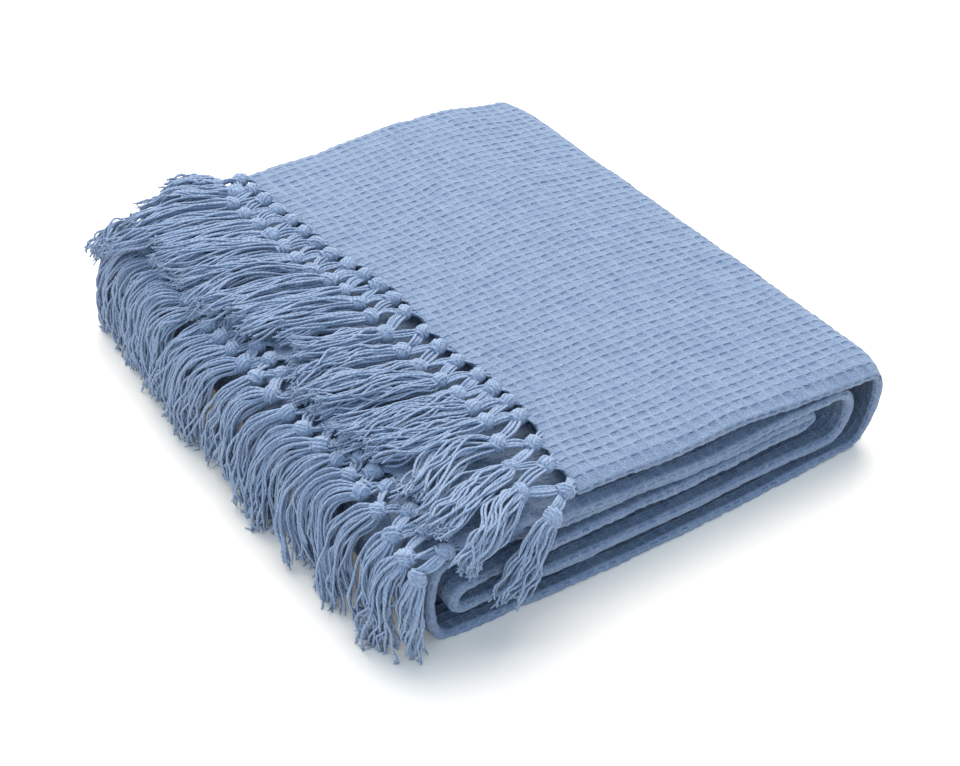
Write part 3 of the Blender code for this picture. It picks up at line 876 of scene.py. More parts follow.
@dataclass
class Fringe:
    """One knotted fringe of plied cotton yarn."""

    end: End
    section: FoldedSection
    rail: Rail
    corners: dict[int, tuple[Triple, ...]]
    lift: float
    seed: int
    loose: Looseness = Looseness()
    tassels: YarnSpinner = field(default_factory=YarnSpinner)
    knots: YarnSpinner = field(default_factory=YarnSpinner)

    YARN = 0.92  # radius of a yarn
    FAN_YARNS = 9
    FAN_POINTS = 6
    WRAP_POINTS = 15
    LEG_YARNS = 5
    LEG_POINTS = 9
    TASSEL_YARNS = 32
    TASSEL_POINTS = 19
    LOCKS = 4
    PLIES = 2
    BANDS = (Band((8, 30), 5, 0.84, 0.0, 1), Band((42, 66), 3, 0.36, 0.35, -1))
    FIRST_KNOT = (5.2, 5.4, 4.9)  # half length, width and height
    SECOND_KNOT = (5.2, 5.8, 5.1)
    BUNCH = (0, 0.1, 0.4, 1.0)  # shares of a tassel's line, with its half width and thickness there
    BUNCH_WIDE = (2.8, 5.4, 7.6, 8.8)
    BUNCH_THICK = (2.8, 4.8, 5.8, 4.8)
    HIGHEST = 82.0  # what stands above it is pressed down
    NEAR = 150  # top tassels nearer than this to the near side all reach the lower fringe
    LONGEST = 1.06  # share of its line that a tassel has at most
    PLACED_SPREAD = 1.2  # how many times wider a tassel placed one by one is
    SPREAD = ((90, NEAR), (1.42, 1.05))  # the same for the others, by distance from the near side
    LEG_START = (2.8, 2.2)  # from a first knot's middle, out and to the side
    LEG_GOAL = (2.6, 2.0)  # from a second knot's middle, back and to the side
    LEG_HALF = (2.7, 0.75)  # half width and half thickness of a leg's band

    def __post_init__(self) -> None:
        """Start the random draws."""
        self.rng = np.random.default_rng(self.seed)

    def knot_places(self) -> Array:
        """Distances from the near side to the first-row knots."""
        knot, shift = np.array(KNOT_SHIFT).T
        return np.linspace(END_INSET, WIDTH - END_INSET, KNOTS) + np.interp(np.arange(KNOTS), knot, shift)

    def between_knots(self, inset: float) -> Array:
        """Distances halfway between first knots, with one more past each end knot by the inset."""
        knots = self.knot_places()
        return np.concatenate(([knots[0] - inset], (knots[1:] + knots[:-1]) / 2, [knots[-1] + inset]))

    def cloth_end(self, y: Array, inside: float = 0.0) -> tuple[Array, Array, Array]:
        """Points on the cloth's end with their directions.

        Args:
            y: distances from the near side.
            inside: how far back from the end.

        Returns:
            Points, the direction out of the end and the direction off its upper face, each (N, 3).
        """
        s = np.full((1, len(y)), inside if self.end is End.TOP else self.section.length - inside)
        point, along, _, off = self.section.frames(s, (y / WIDTH)[None])
        out = -along[0] if self.end is End.TOP else along[0]
        off = off[0] * np.sign(off[0, :, 2:])
        return point[0], out, off

    def first_knots(self) -> Knots:
        """The first row of knots, on the cloth's end.

        Returns:
            The row, with sides that point to the far side.
        """
        point, out, off = self.cloth_end(self.knot_places())
        side = unit(np.cross(out, off))
        side *= np.sign(side[:, 1:2])
        return Knots(point + out * KNOT_REACH + off * self.lift, out, side, off)

    def lines(self) -> Array:
        """The second knots and the tassels' ways.

        A tassel runs from its knot to its own end in the rail's table. The bends between stand at shares of
        that way, at heights of their own.

        Returns:
            The knot and three points of each tassel, (KNOTS + 1, 4, 3).
        """
        knots = self.knot_places()
        places = self.between_knots(END_TASSEL_STEP * (knots[1] - knots[0]))
        on_cloth = np.clip(places, 0, WIDTH)
        ys = self.cloth_end(on_cloth)[0][:, 1] + places - on_cloth
        ends = np.array(self.rail.ends, float)
        x, end_x, end_z, lean = (np.interp(ys, ends[:, 0], column) for column in ends[:, 1:].T)
        if self.end is End.TOP:
            x = x + bow_at(on_cloth)
        stations = ((0.0, self.rail.knot), *self.rail.bends, (1.0, end_z))
        lines = np.stack([
            np.stack((x + share * (end_x - x), ys + share * lean, np.broadcast_to(height, ys.shape)), -1)
            for share, height in stations
        ], axis=1)
        for index, points in self.corners.items():
            lines[index] = points
        return lines

    def second_knots(self, lines: Array) -> Knots:
        """The second row of knots, at the head of each tassel.

        Args:
            lines: the tassels' points.

        Returns:
            The row.
        """
        along = unit(lines[:, 1] - lines[:, 0])
        side = unit(np.cross(along, facing(lines[:, 0])))
        return Knots(lines[:, 0], along, side, np.cross(side, along))

    def wrap(self, knots: Knots, length: float, width: float, height: float) -> None:
        """Cover each knot with two slanted bands of yarns round an egg.

        Yarn i of a band lies at a distance w from the middle along the band's axis. Its loop is an ellipse
        of the knot's own width and height times the root of 1 - (w / length)^2, and its two ends sink in.
        The second band is narrower, leans more and crosses the first.

        Args:
            knots: the row.
            length: half length of a knot.
            width: half width.
            height: half height.
        """
        rng, count = self.rng, len(knots.middle)
        size = rng.uniform(0.9, 1.12, count)
        hand = rng.choice((-1, 1), count)
        turn = np.linspace(-0.62 * np.pi, 1.62 * np.pi, self.WRAP_POINTS)
        sink = 1 - 0.3 * smooth_step(0.8, 1.0, np.abs(np.linspace(-1, 1, self.WRAP_POINTS)))
        for band in self.BANDS:
            lean = np.radians(rng.uniform(*band.lean, count)) * hand * band.hand
            axis = knots.along * np.cos(lean)[:, None] + knots.side * np.sin(lean)[:, None]
            cross = knots.side * np.cos(lean)[:, None] - knots.along * np.sin(lean)[:, None]
            frames = np.stack((axis, cross, knots.off), axis=1)
            if band is self.BANDS[0]:
                core = np.array((length * 1.02, width - 0.3 * self.YARN, height - 0.3 * self.YARN))
                self.knots.cores(knots.middle, frames, size[:, None] * core)
            shape = (count, band.wraps)
            place = np.linspace(-band.spread, band.spread, band.wraps)[None] * length * size[:, None]
            place = place + rng.normal(0, 0.12, shape)
            bulge = np.sqrt(1 - (place / (length * 1.2 * size[:, None])) ** 2)
            bulge = bulge * rng.uniform(0.95, 1.03, shape)
            slip = rng.normal(0, 0.5, (*shape, 1)) * np.sin(turn)[None, None]
            slip = slip + rng.normal(0, 0.5, (count, 1, 1)) * np.cos(turn)[None, None]
            c, h = (
                (half + band.grow - self.YARN) * size[:, None, None] * bulge[..., None] * part * sink
                for half, part in ((width, np.cos(turn)), (height, np.sin(turn)))
            )
            offsets = np.einsum("kwpj,kjc->kwpc", np.stack((place[..., None] + slip, c, h), -1), frames)
            path = (knots.middle[:, None, None] + offsets).reshape(-1, self.WRAP_POINTS, 3)
            self.knots.sweep(path, np.full(path.shape[:2], self.YARN * 1.15))

    def fans(self, knots: Knots) -> None:
        """The yarns that leave the cloth's end and gather into each first knot.

        A yarn runs from its place in the end to a narrow bunch inside the knot, a little arched.

        Args:
            knots: the first row.
        """
        rng, shape = self.rng, (KNOTS, self.FAN_YARNS)
        edges = self.between_knots(END_INSET - 1.2)
        share = (np.arange(self.FAN_YARNS) + 0.5) / self.FAN_YARNS
        y = edges[:-1, None] + np.diff(edges)[:, None] * (0.06 + 0.88 * share) + rng.normal(0, 0.25, shape)
        start, _, off = self.cloth_end(np.clip(y, 1.0, WIDTH - 1.0).ravel(), inside=1.6)
        start = start + off * rng.uniform(-0.9, 1.3, (len(off), 1))
        gather = (share - 0.5)[None, :, None] * 4.2
        finish = knots.middle[:, None] - knots.along[:, None] * 2.0 + knots.side[:, None] * gather
        finish = finish + knots.off[:, None] * rng.uniform(-1.6, 1.6, (*shape, 1))
        t = np.linspace(0, 1, self.FAN_POINTS)[None, :, None]
        path = straight(start, finish.reshape(-1, 3), t) + off[:, None] * np.sin(np.pi * t) * 0.7
        self.knots.sweep(path, np.full(path.shape[:2], self.YARN * 0.85))

    def legs(self, first: Knots, second: Knots) -> None:
        """Two legs of five yarns from each first knot to the second knots beside it.

        A leg's middle is a straight line that arches off by a share of its length. Its yarns lie side by side
        in a flat band that turns slowly about that line.

        Args:
            first: the first row.
            second: the second row.
        """
        rng, count = self.rng, 2 * KNOTS
        one_each = (count, 1, 1)
        ahead, beside = self.LEG_START
        out = first.middle + first.along * ahead
        start = np.concatenate((out - first.side * beside, out + first.side * beside))
        goal = np.concatenate((np.arange(KNOTS), np.arange(1, KNOTS + 1)))
        hand = np.concatenate((np.ones(KNOTS), -np.ones(KNOTS)))[:, None]
        side = second.side[goal]
        hand = hand * np.sign(side[:, 1:2] + 1e-9)
        back, beside = self.LEG_GOAL
        finish = second.middle[goal] - second.along[goal] * back + side * beside * hand
        t = np.linspace(0, 1, self.LEG_POINTS)[None, :, None]
        reach = np.linalg.norm(finish - start, axis=-1)[:, None, None]
        off = unit(np.concatenate((first.off, first.off)) + second.off[goal])[:, None]
        bend = np.cross(off[:, 0], unit(finish - start))[:, None]
        arch = np.sin(np.pi * t) * reach
        middle = straight(start, finish, t) + off * arch * rng.uniform(0.03, 0.16, one_each)
        middle = middle + bend * arch * rng.uniform(-0.12, 0.12, one_each)
        tangent = unit(np.gradient(middle, axis=1))
        across = unit(np.cross(tangent, off))
        above = np.cross(across, tangent)
        place, share = np.linspace(-1, 1, self.LEG_YARNS)[None, :, None], t[:, None, :, 0]
        turn = rng.uniform(-0.5, 0.5, one_each) + share * rng.uniform(-1.5, 1.5, one_each)
        wide = self.LEG_HALF[0] * place * (0.8 + 0.3 * np.sin(np.pi * share))
        wide = wide + rng.normal(0, 0.12, (count, self.LEG_YARNS, 1))
        thick = self.LEG_HALF[1] * np.cos(2.2 * np.pi * place + rng.uniform(0, 6.3, one_each))
        a, b = twisted(wide, thick, turn, 0.6)
        path = middle[:, None] + across[:, None] * a[..., None] + above[:, None] * b[..., None]
        path = path.reshape(-1, self.LEG_POINTS, 3)
        self.knots.sweep(path, np.full(path.shape[:2], self.YARN))

    def shortest(self, placed: bool, y: float) -> float:
        """The shortest that a tassel may be for its line: the near ones on top reach the lower fringe.

        Args:
            placed: True where the line was placed one by one.
            y: the knot's distance from the near side.

        Returns:
            A share of the line.
        """
        if placed:
            return 0.97
        if self.end is End.LOWER:
            return 0.9
        return 0.98 if y < self.NEAR else 0.7

    def hang(self, lines: Array) -> None:
        """The loose yarns of every tassel, with frayed ends.

        Args:
            lines: the tassels' points.
        """
        for index, points in enumerate(lines):
            placed, y = index in self.corners, points[0, 1]
            line = TasselLine(points)
            total = line.length * self.rng.uniform(self.shortest(placed, y), self.LONGEST)
            spread = self.PLACED_SPREAD if placed else np.interp(y, *self.SPREAD)
            path, radii = self.bunch(line, total, self.rng.uniform(0.85, 1.15) * spread, placed)
            self.tassels.sweep(path, radii)
            self.fray(path)

    def bunch(self, line: TasselLine, total: float, spread: float, placed: bool) -> tuple[Array, Array]:
        """The loose yarns of one tassel.

        Each yarn keeps a place in a flattened bunch. The bunch widens along the tassel's line and is made of
        four locks that part and wave by themselves, every yarn waves and kinks about its place, a few stray
        ones swing wide, and the ends are of uneven length. The tassel swings aside and lies over or under
        its neighbours.

        Args:
            line: the tassel's line.
            total: its length.
            spread: how many times wider than usual it is.
            placed: True where the line was placed one by one, so that it hardly swings.

        Returns:
            The yarns' paths (N, S, 3) and radii (N, S).
        """
        rng, loose, n = self.rng, self.loose, self.TASSEL_YARNS
        free = 0.0 if placed else 1.0
        rank = np.arange(n) + 0.5
        radius, angle = np.sqrt(rank / n), rank * math.pi * (3 - math.sqrt(5))
        lock = rng.integers(0, self.LOCKS, n)
        reach = (rng.normal(1.0, 0.035, n) + rng.normal(0, 0.04, self.LOCKS)[lock]).clip(0.86, 1.12)
        t = np.linspace(0, 1, self.TASSEL_POINTS)[None] * (reach * total / line.length)[:, None]
        flat = np.clip(t, 0, 1)
        wide = np.interp(t, self.BUNCH, self.BUNCH_WIDE) * spread
        thick = np.interp(t, self.BUNCH, self.BUNCH_THICK) * rng.uniform(0.85, 1.15)
        turn = angle + rng.uniform(0, 2 * np.pi) + rng.normal(0, 0.15, n)
        swing = free * rng.normal(0, loose.swing) * flat**1.5
        bow = (1 + 3 * free) * rng.normal(0, loose.bow) * np.sin(np.pi * flat * rng.uniform(0.8, 1.9))
        rise = rng.uniform(-1.2, 3.6) * np.sin(np.pi * flat * 0.8)
        part_way = rng.normal(0, loose.part, (self.LOCKS, 2))[lock]
        twist = rng.normal(0, 0.6) * flat
        wave = self.waves(flat, lock)
        stray = rng.random((n, 1)) > 0.88 + 0.1 * placed
        curl = rng.normal(0, loose.curl, (2, n, 1)) * (1 + 3.0 * stray) * flat**2.5
        a = (radius * np.cos(turn))[:, None] * wide + wave[0] * flat**0.6 + curl[0]
        a = a + part_way[:, :1] * flat + (swing + bow)
        b = (radius * np.sin(turn))[:, None] * thick + wave[1] * flat**0.6 * 0.7 + curl[1] * 0.7
        b = b + part_way[:, 1:] * flat * 0.6 + rise
        b = b + stray * np.abs(rng.normal(0, loose.stray, (n, 1))) * np.sin(np.pi * flat) ** 1.5
        a, b = twisted(a, b, twist, 0.5)
        path = line.read(line.centre, flat) + line.heading * ((t - flat) * line.length)[..., None]
        path = path + line.read(line.side, flat) * a[..., None] + line.read(line.off, flat) * b[..., None]
        radii = self.YARN * rng.uniform(0.84, 1.06, (n, 1)) * (1 - 0.1 * flat)
        over = np.maximum(path[..., 2] - self.HIGHEST, 0)
        path[..., 2] = np.maximum(path[..., 2] - 0.7 * over, radii + 0.25)
        return path, radii

    def waves(self, flat: Array, lock: Array) -> Array:
        """How far each yarn stands aside and off: its slow waves, its kinks and its lock's own waves.

        Each is a random amplitude times sin(pi share turns + phase). A lock's waves are read at the shares
        of one yarn.

        Args:
            flat: shares of the tassel's line, (N, S).
            lock: the lock of each yarn, (N,).

        Returns:
            Millimetres, (2, N, S).
        """
        rng, loose, each, locks = self.rng, self.loose, (2, len(lock), 1), (2, self.LOCKS, 1)
        waves, turns = rng.normal(0, loose.wave, each), rng.uniform(1.5, 4.0, each)
        kinks, kink_turns = rng.normal(0, loose.kink, each), rng.uniform(4.5, 8.5, each)
        shared = rng.normal(0, loose.shared, locks) * np.sin(
            np.pi * flat[:self.LOCKS] * rng.uniform(1.6, 3.4, locks) + rng.uniform(0, 2 * np.pi, locks)
        )
        return (
            waves * np.sin(np.pi * flat * turns + rng.uniform(0, 2 * np.pi, each))
            + kinks * np.sin(np.pi * flat * kink_turns + rng.uniform(0, 2 * np.pi, each))
            + shared[:, lock]
        )

    def fray(self, path: Array) -> None:
        """The two plies of each yarn, which come apart past its cut end.

        Args:
            path: the yarns' paths, (N, S, 3).
        """
        rng, count = self.rng, len(path)
        tip = np.repeat(path[:, -1], self.PLIES, axis=0)
        ahead = np.repeat(unit(path[:, -1] - path[:, -2]), self.PLIES, axis=0)
        splay = np.repeat(rng.normal(0, 0.3, (count, 3)), self.PLIES, axis=0)
        splay = splay * np.tile((1.0, -1.0), count)[:, None]
        length = rng.uniform(1.6, 3.6, (len(tip), 1))
        t = np.linspace(0, 1, 3)[None, :, None]
        root = (tip - ahead * 1.2 + splay)[:, None]
        ply = root + (ahead * length)[:, None] * t + (splay * length)[:, None] * t**1.6
        ply[..., 2] = np.maximum(ply[..., 2], 0.6)
        self.tassels.sweep(ply, np.broadcast_to(self.YARN * np.array((0.66, 0.62, 0.46)), ply.shape[:2]), 4)

    def build(self) -> None:
        """Make the whole fringe."""
        first, lines = self.first_knots(), self.lines()
        second = self.second_knots(lines)
        self.fans(first)
        self.wrap(first, *self.FIRST_KNOT)
        self.legs(first, second)
        self.wrap(second, *self.SECOND_KNOT)
        self.hang(lines)


class NodeTree:
    """A small helper for writing shader nodes. A value is a socket, a number or a tuple of numbers."""

    def __init__(self, tree: bpy.types.NodeTree) -> None:
        """Keep the tree that is written to."""
        self.tree = tree

    def feed(self, node: bpy.types.Node, values: dict[str | int, object]) -> None:
        """Link or set a node's inputs.

        Args:
            node: the node.
            values: input name or number to value.
        """
        for place, value in values.items():
            if isinstance(value, bpy.types.NodeSocket):
                self.tree.links.new(value, node.inputs[place])
            else:
                node.inputs[place].default_value = value

    def node(
        self, kind: str, values: dict[str | int, object] | None = None, **settings: object,
    ) -> bpy.types.Node:
        """Add a shader node.

        Args:
            kind: its type after "ShaderNode".
            values: input name or number to value.
            settings: the node's own properties.

        Returns:
            The new node.
        """
        made = self.tree.nodes.new(f"ShaderNode{kind}")
        for name, setting in settings.items():
            setattr(made, name, setting)
        self.feed(made, values or {})
        return made

    def math(self, operation: str, *values: object) -> bpy.types.NodeSocket:
        """The result of a Math node on values."""
        return self.node("Math", dict(enumerate(values)), operation=operation).outputs[0]

    def product(self, *values: object) -> bpy.types.NodeSocket:
        """The product of two or three values."""
        rest = values[1] if len(values) == 2 else self.product(*values[1:])
        return self.math("MULTIPLY", values[0], rest)

    def ramp(self, value: bpy.types.NodeSocket, low: float, high: float) -> bpy.types.NodeSocket:
        """A smooth rise from 0 where the value is low to 1 where it is high."""
        values = {"From Min": low, "From Max": high, "Value": value}
        return self.node("MapRange", values, interpolation_type="SMOOTHSTEP").outputs["Result"]

    def mix(self, share: bpy.types.NodeSocket, first: object, second: object) -> bpy.types.NodeSocket:
        """The first colour where the share is 0, the second where it is 1."""
        return self.node("Mix", {0: share, 6: first, 7: second}, data_type="RGBA").outputs[2]

    def noise(self, vector: object, scale: object, detail: float, **settings: object) -> bpy.types.Node:
        """A noise texture."""
        return self.node("TexNoise", {"Vector": vector, "Scale": scale, "Detail": detail}, **settings)


def new_group(
    name: str, inputs: dict[str, float | None], outputs: tuple[str, ...],
) -> tuple[NodeTree, bpy.types.bpy_prop_collection, bpy.types.Node]:
    """An empty node group with named sockets.

    Args:
        name: the group's name.
        inputs: socket name to its default number, or None for a vector.
        outputs: names of the numbers that come out.

    Returns:
        The tree helper, the sockets that come in and the group's output node.
    """
    tree = bpy.data.node_groups.new(name, "ShaderNodeTree")
    for label, default in inputs.items():
        kind = "NodeSocketVector" if default is None else "NodeSocketFloat"
        made = tree.interface.new_socket(name=label, in_out="INPUT", socket_type=kind)
        if default is not None:
            made.default_value = default
    for label in outputs:
        tree.interface.new_socket(name=label, in_out="OUTPUT", socket_type="NodeSocketFloat")
    return NodeTree(tree), tree.nodes.new("NodeGroupInput").outputs, tree.nodes.new("NodeGroupOutput")


def fuzz_group() -> bpy.types.NodeTree:
    """Cotton fuzz: fine noise as a height, and slower noise as a tone round 0.5.

    Returns:
        The group.
    """
    inputs = {"Vector": None, "Fine Scale": 900.0, "Tone Scale": 110.0}
    nodes, given, out = new_group("cotton_fuzz", inputs, ("Height", "Tone"))
    fine = nodes.noise(given["Vector"], given["Fine Scale"], 3.0).outputs["Fac"]
    slow = nodes.noise(given["Vector"], given["Tone Scale"], 2.0).outputs["Fac"]
    nodes.feed(out, {
        "Height": fine, "Tone": nodes.math("ADD", nodes.product(fine, 0.7), nodes.product(slow, 0.3)),
    })
    return nodes.tree


def weave_group() -> bpy.types.NodeTree:
    """The waffle on its UV, in cells, a little out of true.

    The height is fine ribs one way crossed by ribs the other way, on thin ridges round each cell, less the
    pit's steep wall. The shade is painted shadow: 1 in the short slot under each cell's far ridge, where that
    ridge's shadow falls, as strong as a random number of the cell says. The pit is 1 inside the cell and 0
    on its ridges.

    Returns:
        The group.
    """
    inputs = {"Vector": None, "Yarns a Cell": 6.0, "Even Share": 0.25, "Wobble": 0.2}
    nodes, given, out = new_group("waffle_yarns", inputs, ("Height", "Painted Shade", "Pit"))
    noise = nodes.noise(given["Vector"], 2.3, 2.0, noise_dimensions="2D").outputs["Color"]
    centred = nodes.node("VectorMath", {0: noise, 1: (0.5, 0.5, 0.5)}, operation="SUBTRACT")
    moved = nodes.node("VectorMath", {0: centred.outputs[0], "Scale": given["Wobble"]}, operation="SCALE")
    place = nodes.node("VectorMath", {0: given["Vector"], 1: moved.outputs[0]}, operation="ADD")
    parts = nodes.node("SeparateXYZ", {0: place.outputs[0]}).outputs
    turn = nodes.product(given["Yarns a Cell"], math.pi)
    one, two = (nodes.math("SINE", nodes.product(parts[axis], turn)) for axis in "XY")
    ribs = nodes.math("MULTIPLY_ADD", nodes.product(one, two), 0.5, 0.5)
    along, across = (nodes.math("FRACT", parts[axis]) for axis in "XY")
    from_middle = nodes.math("ABSOLUTE", nodes.math("MULTIPLY_ADD", along, 2.0, -1.0))
    bent = nodes.math("MULTIPLY_ADD", nodes.product(from_middle, from_middle), 0.08, across)
    # painted shadow: the slot under each cell's far ridge, where the ridge's shadow falls
    slot = nodes.product(
        nodes.ramp(from_middle, 0.82, 0.4), nodes.ramp(bent, 0.72, 0.82), nodes.ramp(bent, 0.93, 0.85),
    )
    pit = nodes.product(
        nodes.ramp(from_middle, 0.9, 0.62), nodes.ramp(across, 0.03, 0.22), nodes.ramp(across, 0.9, 0.82),
    )
    cell = nodes.node("CombineXYZ", {axis: nodes.math("FLOOR", parts[axis]) for axis in "XY"})
    own = nodes.node("TexWhiteNoise", {"Vector": cell.outputs[0]}, noise_dimensions="2D").outputs["Value"]
    uneven = nodes.math("SUBTRACT", 1.0, given["Even Share"])
    painted_shade = nodes.product(slot, nodes.math("MULTIPLY_ADD", own, uneven, given["Even Share"]))
    sunk = nodes.math("MULTIPLY_ADD", pit, -1.0, nodes.product(ribs, 0.8))
    height = nodes.math("SUBTRACT", sunk, nodes.product(painted_shade, 1.2))
    nodes.feed(out, {"Height": height, "Painted Shade": nodes.product(painted_shade, 0.72), "Pit": pit})
    return nodes.tree


def twist_group() -> bpy.types.NodeTree:
    """Plied yarn on its UV, turns round and millimetres along.

    The height is slanted ribs, two to a turn, the pit is the groove between them, and the shade, painted
    shade in that groove between the plies, is its square.

    Returns:
        The group.
    """
    nodes, given, out = new_group("yarn_twist", {"Vector": None, "Pitch": 3.4}, ("Height", "Painted Shade", "Pit"))
    parts = nodes.node("SeparateXYZ", {0: given["Vector"]}).outputs
    along = nodes.math("DIVIDE", parts["Y"], given["Pitch"])
    phase = nodes.product(nodes.math("ADD", nodes.product(parts["X"], 2.0), along), 2 * math.pi)
    ribs = nodes.math("MULTIPLY_ADD", nodes.math("SINE", phase), 0.5, 0.5)
    groove = nodes.math("SUBTRACT", 1.0, ribs)
    # painted shade in the groove between the plies
    painted_shade = nodes.product(nodes.product(groove, groove), 0.35)
    nodes.feed(out, {"Height": ribs, "Painted Shade": painted_shade, "Pit": groove})
    return nodes.tree


def new_material(name: str) -> tuple[bpy.types.Material, NodeTree, bpy.types.Node]:
    """A new material.

    Args:
        name: its name.

    Returns:
        The material, its tree helper and its shader.
    """
    material = bpy.data.materials.new(name)
    material.use_nodes = True
    return material, NodeTree(material.node_tree), material.node_tree.nodes["Principled BSDF"]


@dataclass(frozen=True)
class CottonFinish:
    """Matt dyed cotton, with painted shade in the pits and slots of its pattern."""

    name: str
    light: Triple
    deep: Triple
    # painted shade: the colour mixed in where the pattern marks shadow
    painted_shade: Triple
    roughness: float
    sheen: float
    pattern: Pattern
    pattern_depth: float
    fuzz_depth: float
    # how far the pattern's pits are darkened, as painted shade
    painted_pit_shade: float
    sheen_roughness: float = 0.5
    sheen_tint: Triple = (0.8, 0.9, 1.0)

    def build(
        self, fuzz: bpy.types.NodeTree, patterns: dict[Pattern, bpy.types.NodeTree],
    ) -> bpy.types.Material:
        """Make the material.

        Args:
            fuzz: the cotton fuzz group.
            patterns: the groups of ribs, by pattern.

        Returns:
            The material: its colour from random tone with painted shade in the pits, and the painted shade
            colour where the pattern marks shadow; its normal from ribs and fuzz.
        """
        material, nodes, shader = new_material(self.name)
        place = nodes.node("TexCoord").outputs["Object"]
        uv = nodes.node("UVMap", uv_map="weave").outputs["UV"]
        cotton = nodes.node("Group", node_tree=fuzz)
        ribs = nodes.node("Group", node_tree=patterns[self.pattern])
        nodes.feed(cotton, {"Vector": place})
        nodes.feed(ribs, {"Vector": uv})
        tone_and_pit_shade = nodes.ramp(cotton.outputs["Tone"], 0.32, 0.68)
        # painted shade: the pits are darkened towards the deep colour, as if in their own shade
        tone_and_pit_shade = nodes.math("MULTIPLY_ADD", ribs.outputs["Pit"], -self.painted_pit_shade, tone_and_pit_shade)
        base = nodes.mix(tone_and_pit_shade, (*self.deep, 1.0), (*self.light, 1.0))
        rib_bump = nodes.node(
            "Bump", {"Distance": self.pattern_depth * MM, "Height": ribs.outputs["Height"]},
        )
        fuzz_bump = nodes.node("Bump", {
            "Distance": self.fuzz_depth * MM, "Height": cotton.outputs["Height"],
            "Normal": rib_bump.outputs["Normal"],
        })
        nodes.feed(shader, {
            # painted shadow: the pattern's shade mask mixes in the painted shade colour
            "Base Color": nodes.mix(ribs.outputs["Painted Shade"], base, (*self.painted_shade, 1.0)),
            "Normal": fuzz_bump.outputs["Normal"],
            "Roughness": self.roughness,
            "Metallic": 0.0,
            "Specular IOR Level": 0.2,
            "Sheen Weight": self.sheen,
            "Sheen Roughness": self.sheen_roughness,
            "Sheen Tint": (*self.sheen_tint, 1.0),
        })
        return material


# The cloth's third colour is painted shadow in the slot under each cell's far ridge, and its pit darkening is
# painted shade.
CLOTH_FINISH = CottonFinish(
    name="waffle_cotton_woven", light=(0.29, 0.348, 0.452), deep=(0.185, 0.243, 0.352),
    painted_shade=(0.066, 0.116, 0.226), roughness=0.95, sheen=0.15, pattern=Pattern.WEAVE, pattern_depth=0.24,
    fuzz_depth=0.8, painted_pit_shade=0.2,
)
# The yarn's third colour and its pit darkening are painted shade in the grooves between the plies.
YARN_FINISH = CottonFinish(
    name="fringe_yarn_plied", light=(0.4, 0.468, 0.588), deep=(0.275, 0.343, 0.463),
    painted_shade=(0.13, 0.195, 0.325), roughness=0.92, sheen=0.2, pattern=Pattern.TWIST, pattern_depth=0.16,
    fuzz_depth=0.14, painted_pit_shade=0.25,
)


@dataclass(frozen=True)
class BlanketCloth:
    """The whole cloth in three stretches."""

    section: FoldedSection
    weave: WaffleWeave
    shift: Array
    material: bpy.types.Material

    def stretches(self) -> list[ClothStretch]:
        """The stretches: the top with the big fold, the bottom with its fold, and the layers between.

        Returns:
            One for each row of STRETCHES, cut at whole cells.
        """
        starts, length = self.section.starts, self.section.length
        places = (0.0, starts["floor"], starts["upper_inner"], length)
        cuts = [round(place / self.weave.cell_on(length)) for place in places]
        return [
            ClothStretch(name, first, last, zones, swell, self.section, self.weave)
            for (name, zones, swell), first, last in zip(STRETCHES, cuts, cuts[1:])
        ]

    def build(self) -> None:
        cell = self.weave.cell_on(self.section.length)
        for stretch in self.stretches():
            batch = stretch.build_mesh()
            obj = batch.build(stretch.name, self.shift, self.material)
            hand_over(obj, "blanket_cloth")
            length = (stretch.last_cell - stretch.first_cell) * cell * MM
            LOG.info("%s: %d triangles, %.3f m long", stretch.name, batch.triangles(), length)


def looking(looks: Array, upwards: Array) -> Matrix:
    """The turn of something that looks down its own -Z, with its Y upwards.

    Args:
        looks: the direction that it looks in.
        upwards: the direction that is up for it.

    Returns:
        The turn, (3, 3).
    """
    back = unit(-looks)
    right = unit(np.cross(upwards, back))
    return Matrix(np.column_stack((right, np.cross(back, right), back)).tolist())


@dataclass(frozen=True)
class SoftLight:
    """A square soft light that faces the bundle, in metres and watts."""

    name: str
    at: Triple
    size: float
    power: float
    tint: Triple

    def build(self) -> None:
        """Make the light."""
        data = bpy.data.lights.new(self.name, "AREA")
        data.shape, data.size, data.energy, data.color = "SQUARE", self.size, self.power, self.tint
        lamp = in_scene(self.name, data)
        lamp.location = self.at
        lamp.rotation_euler = looking(-np.array(self.at), np.array((0.0, 0.0, 1.0))).to_euler()


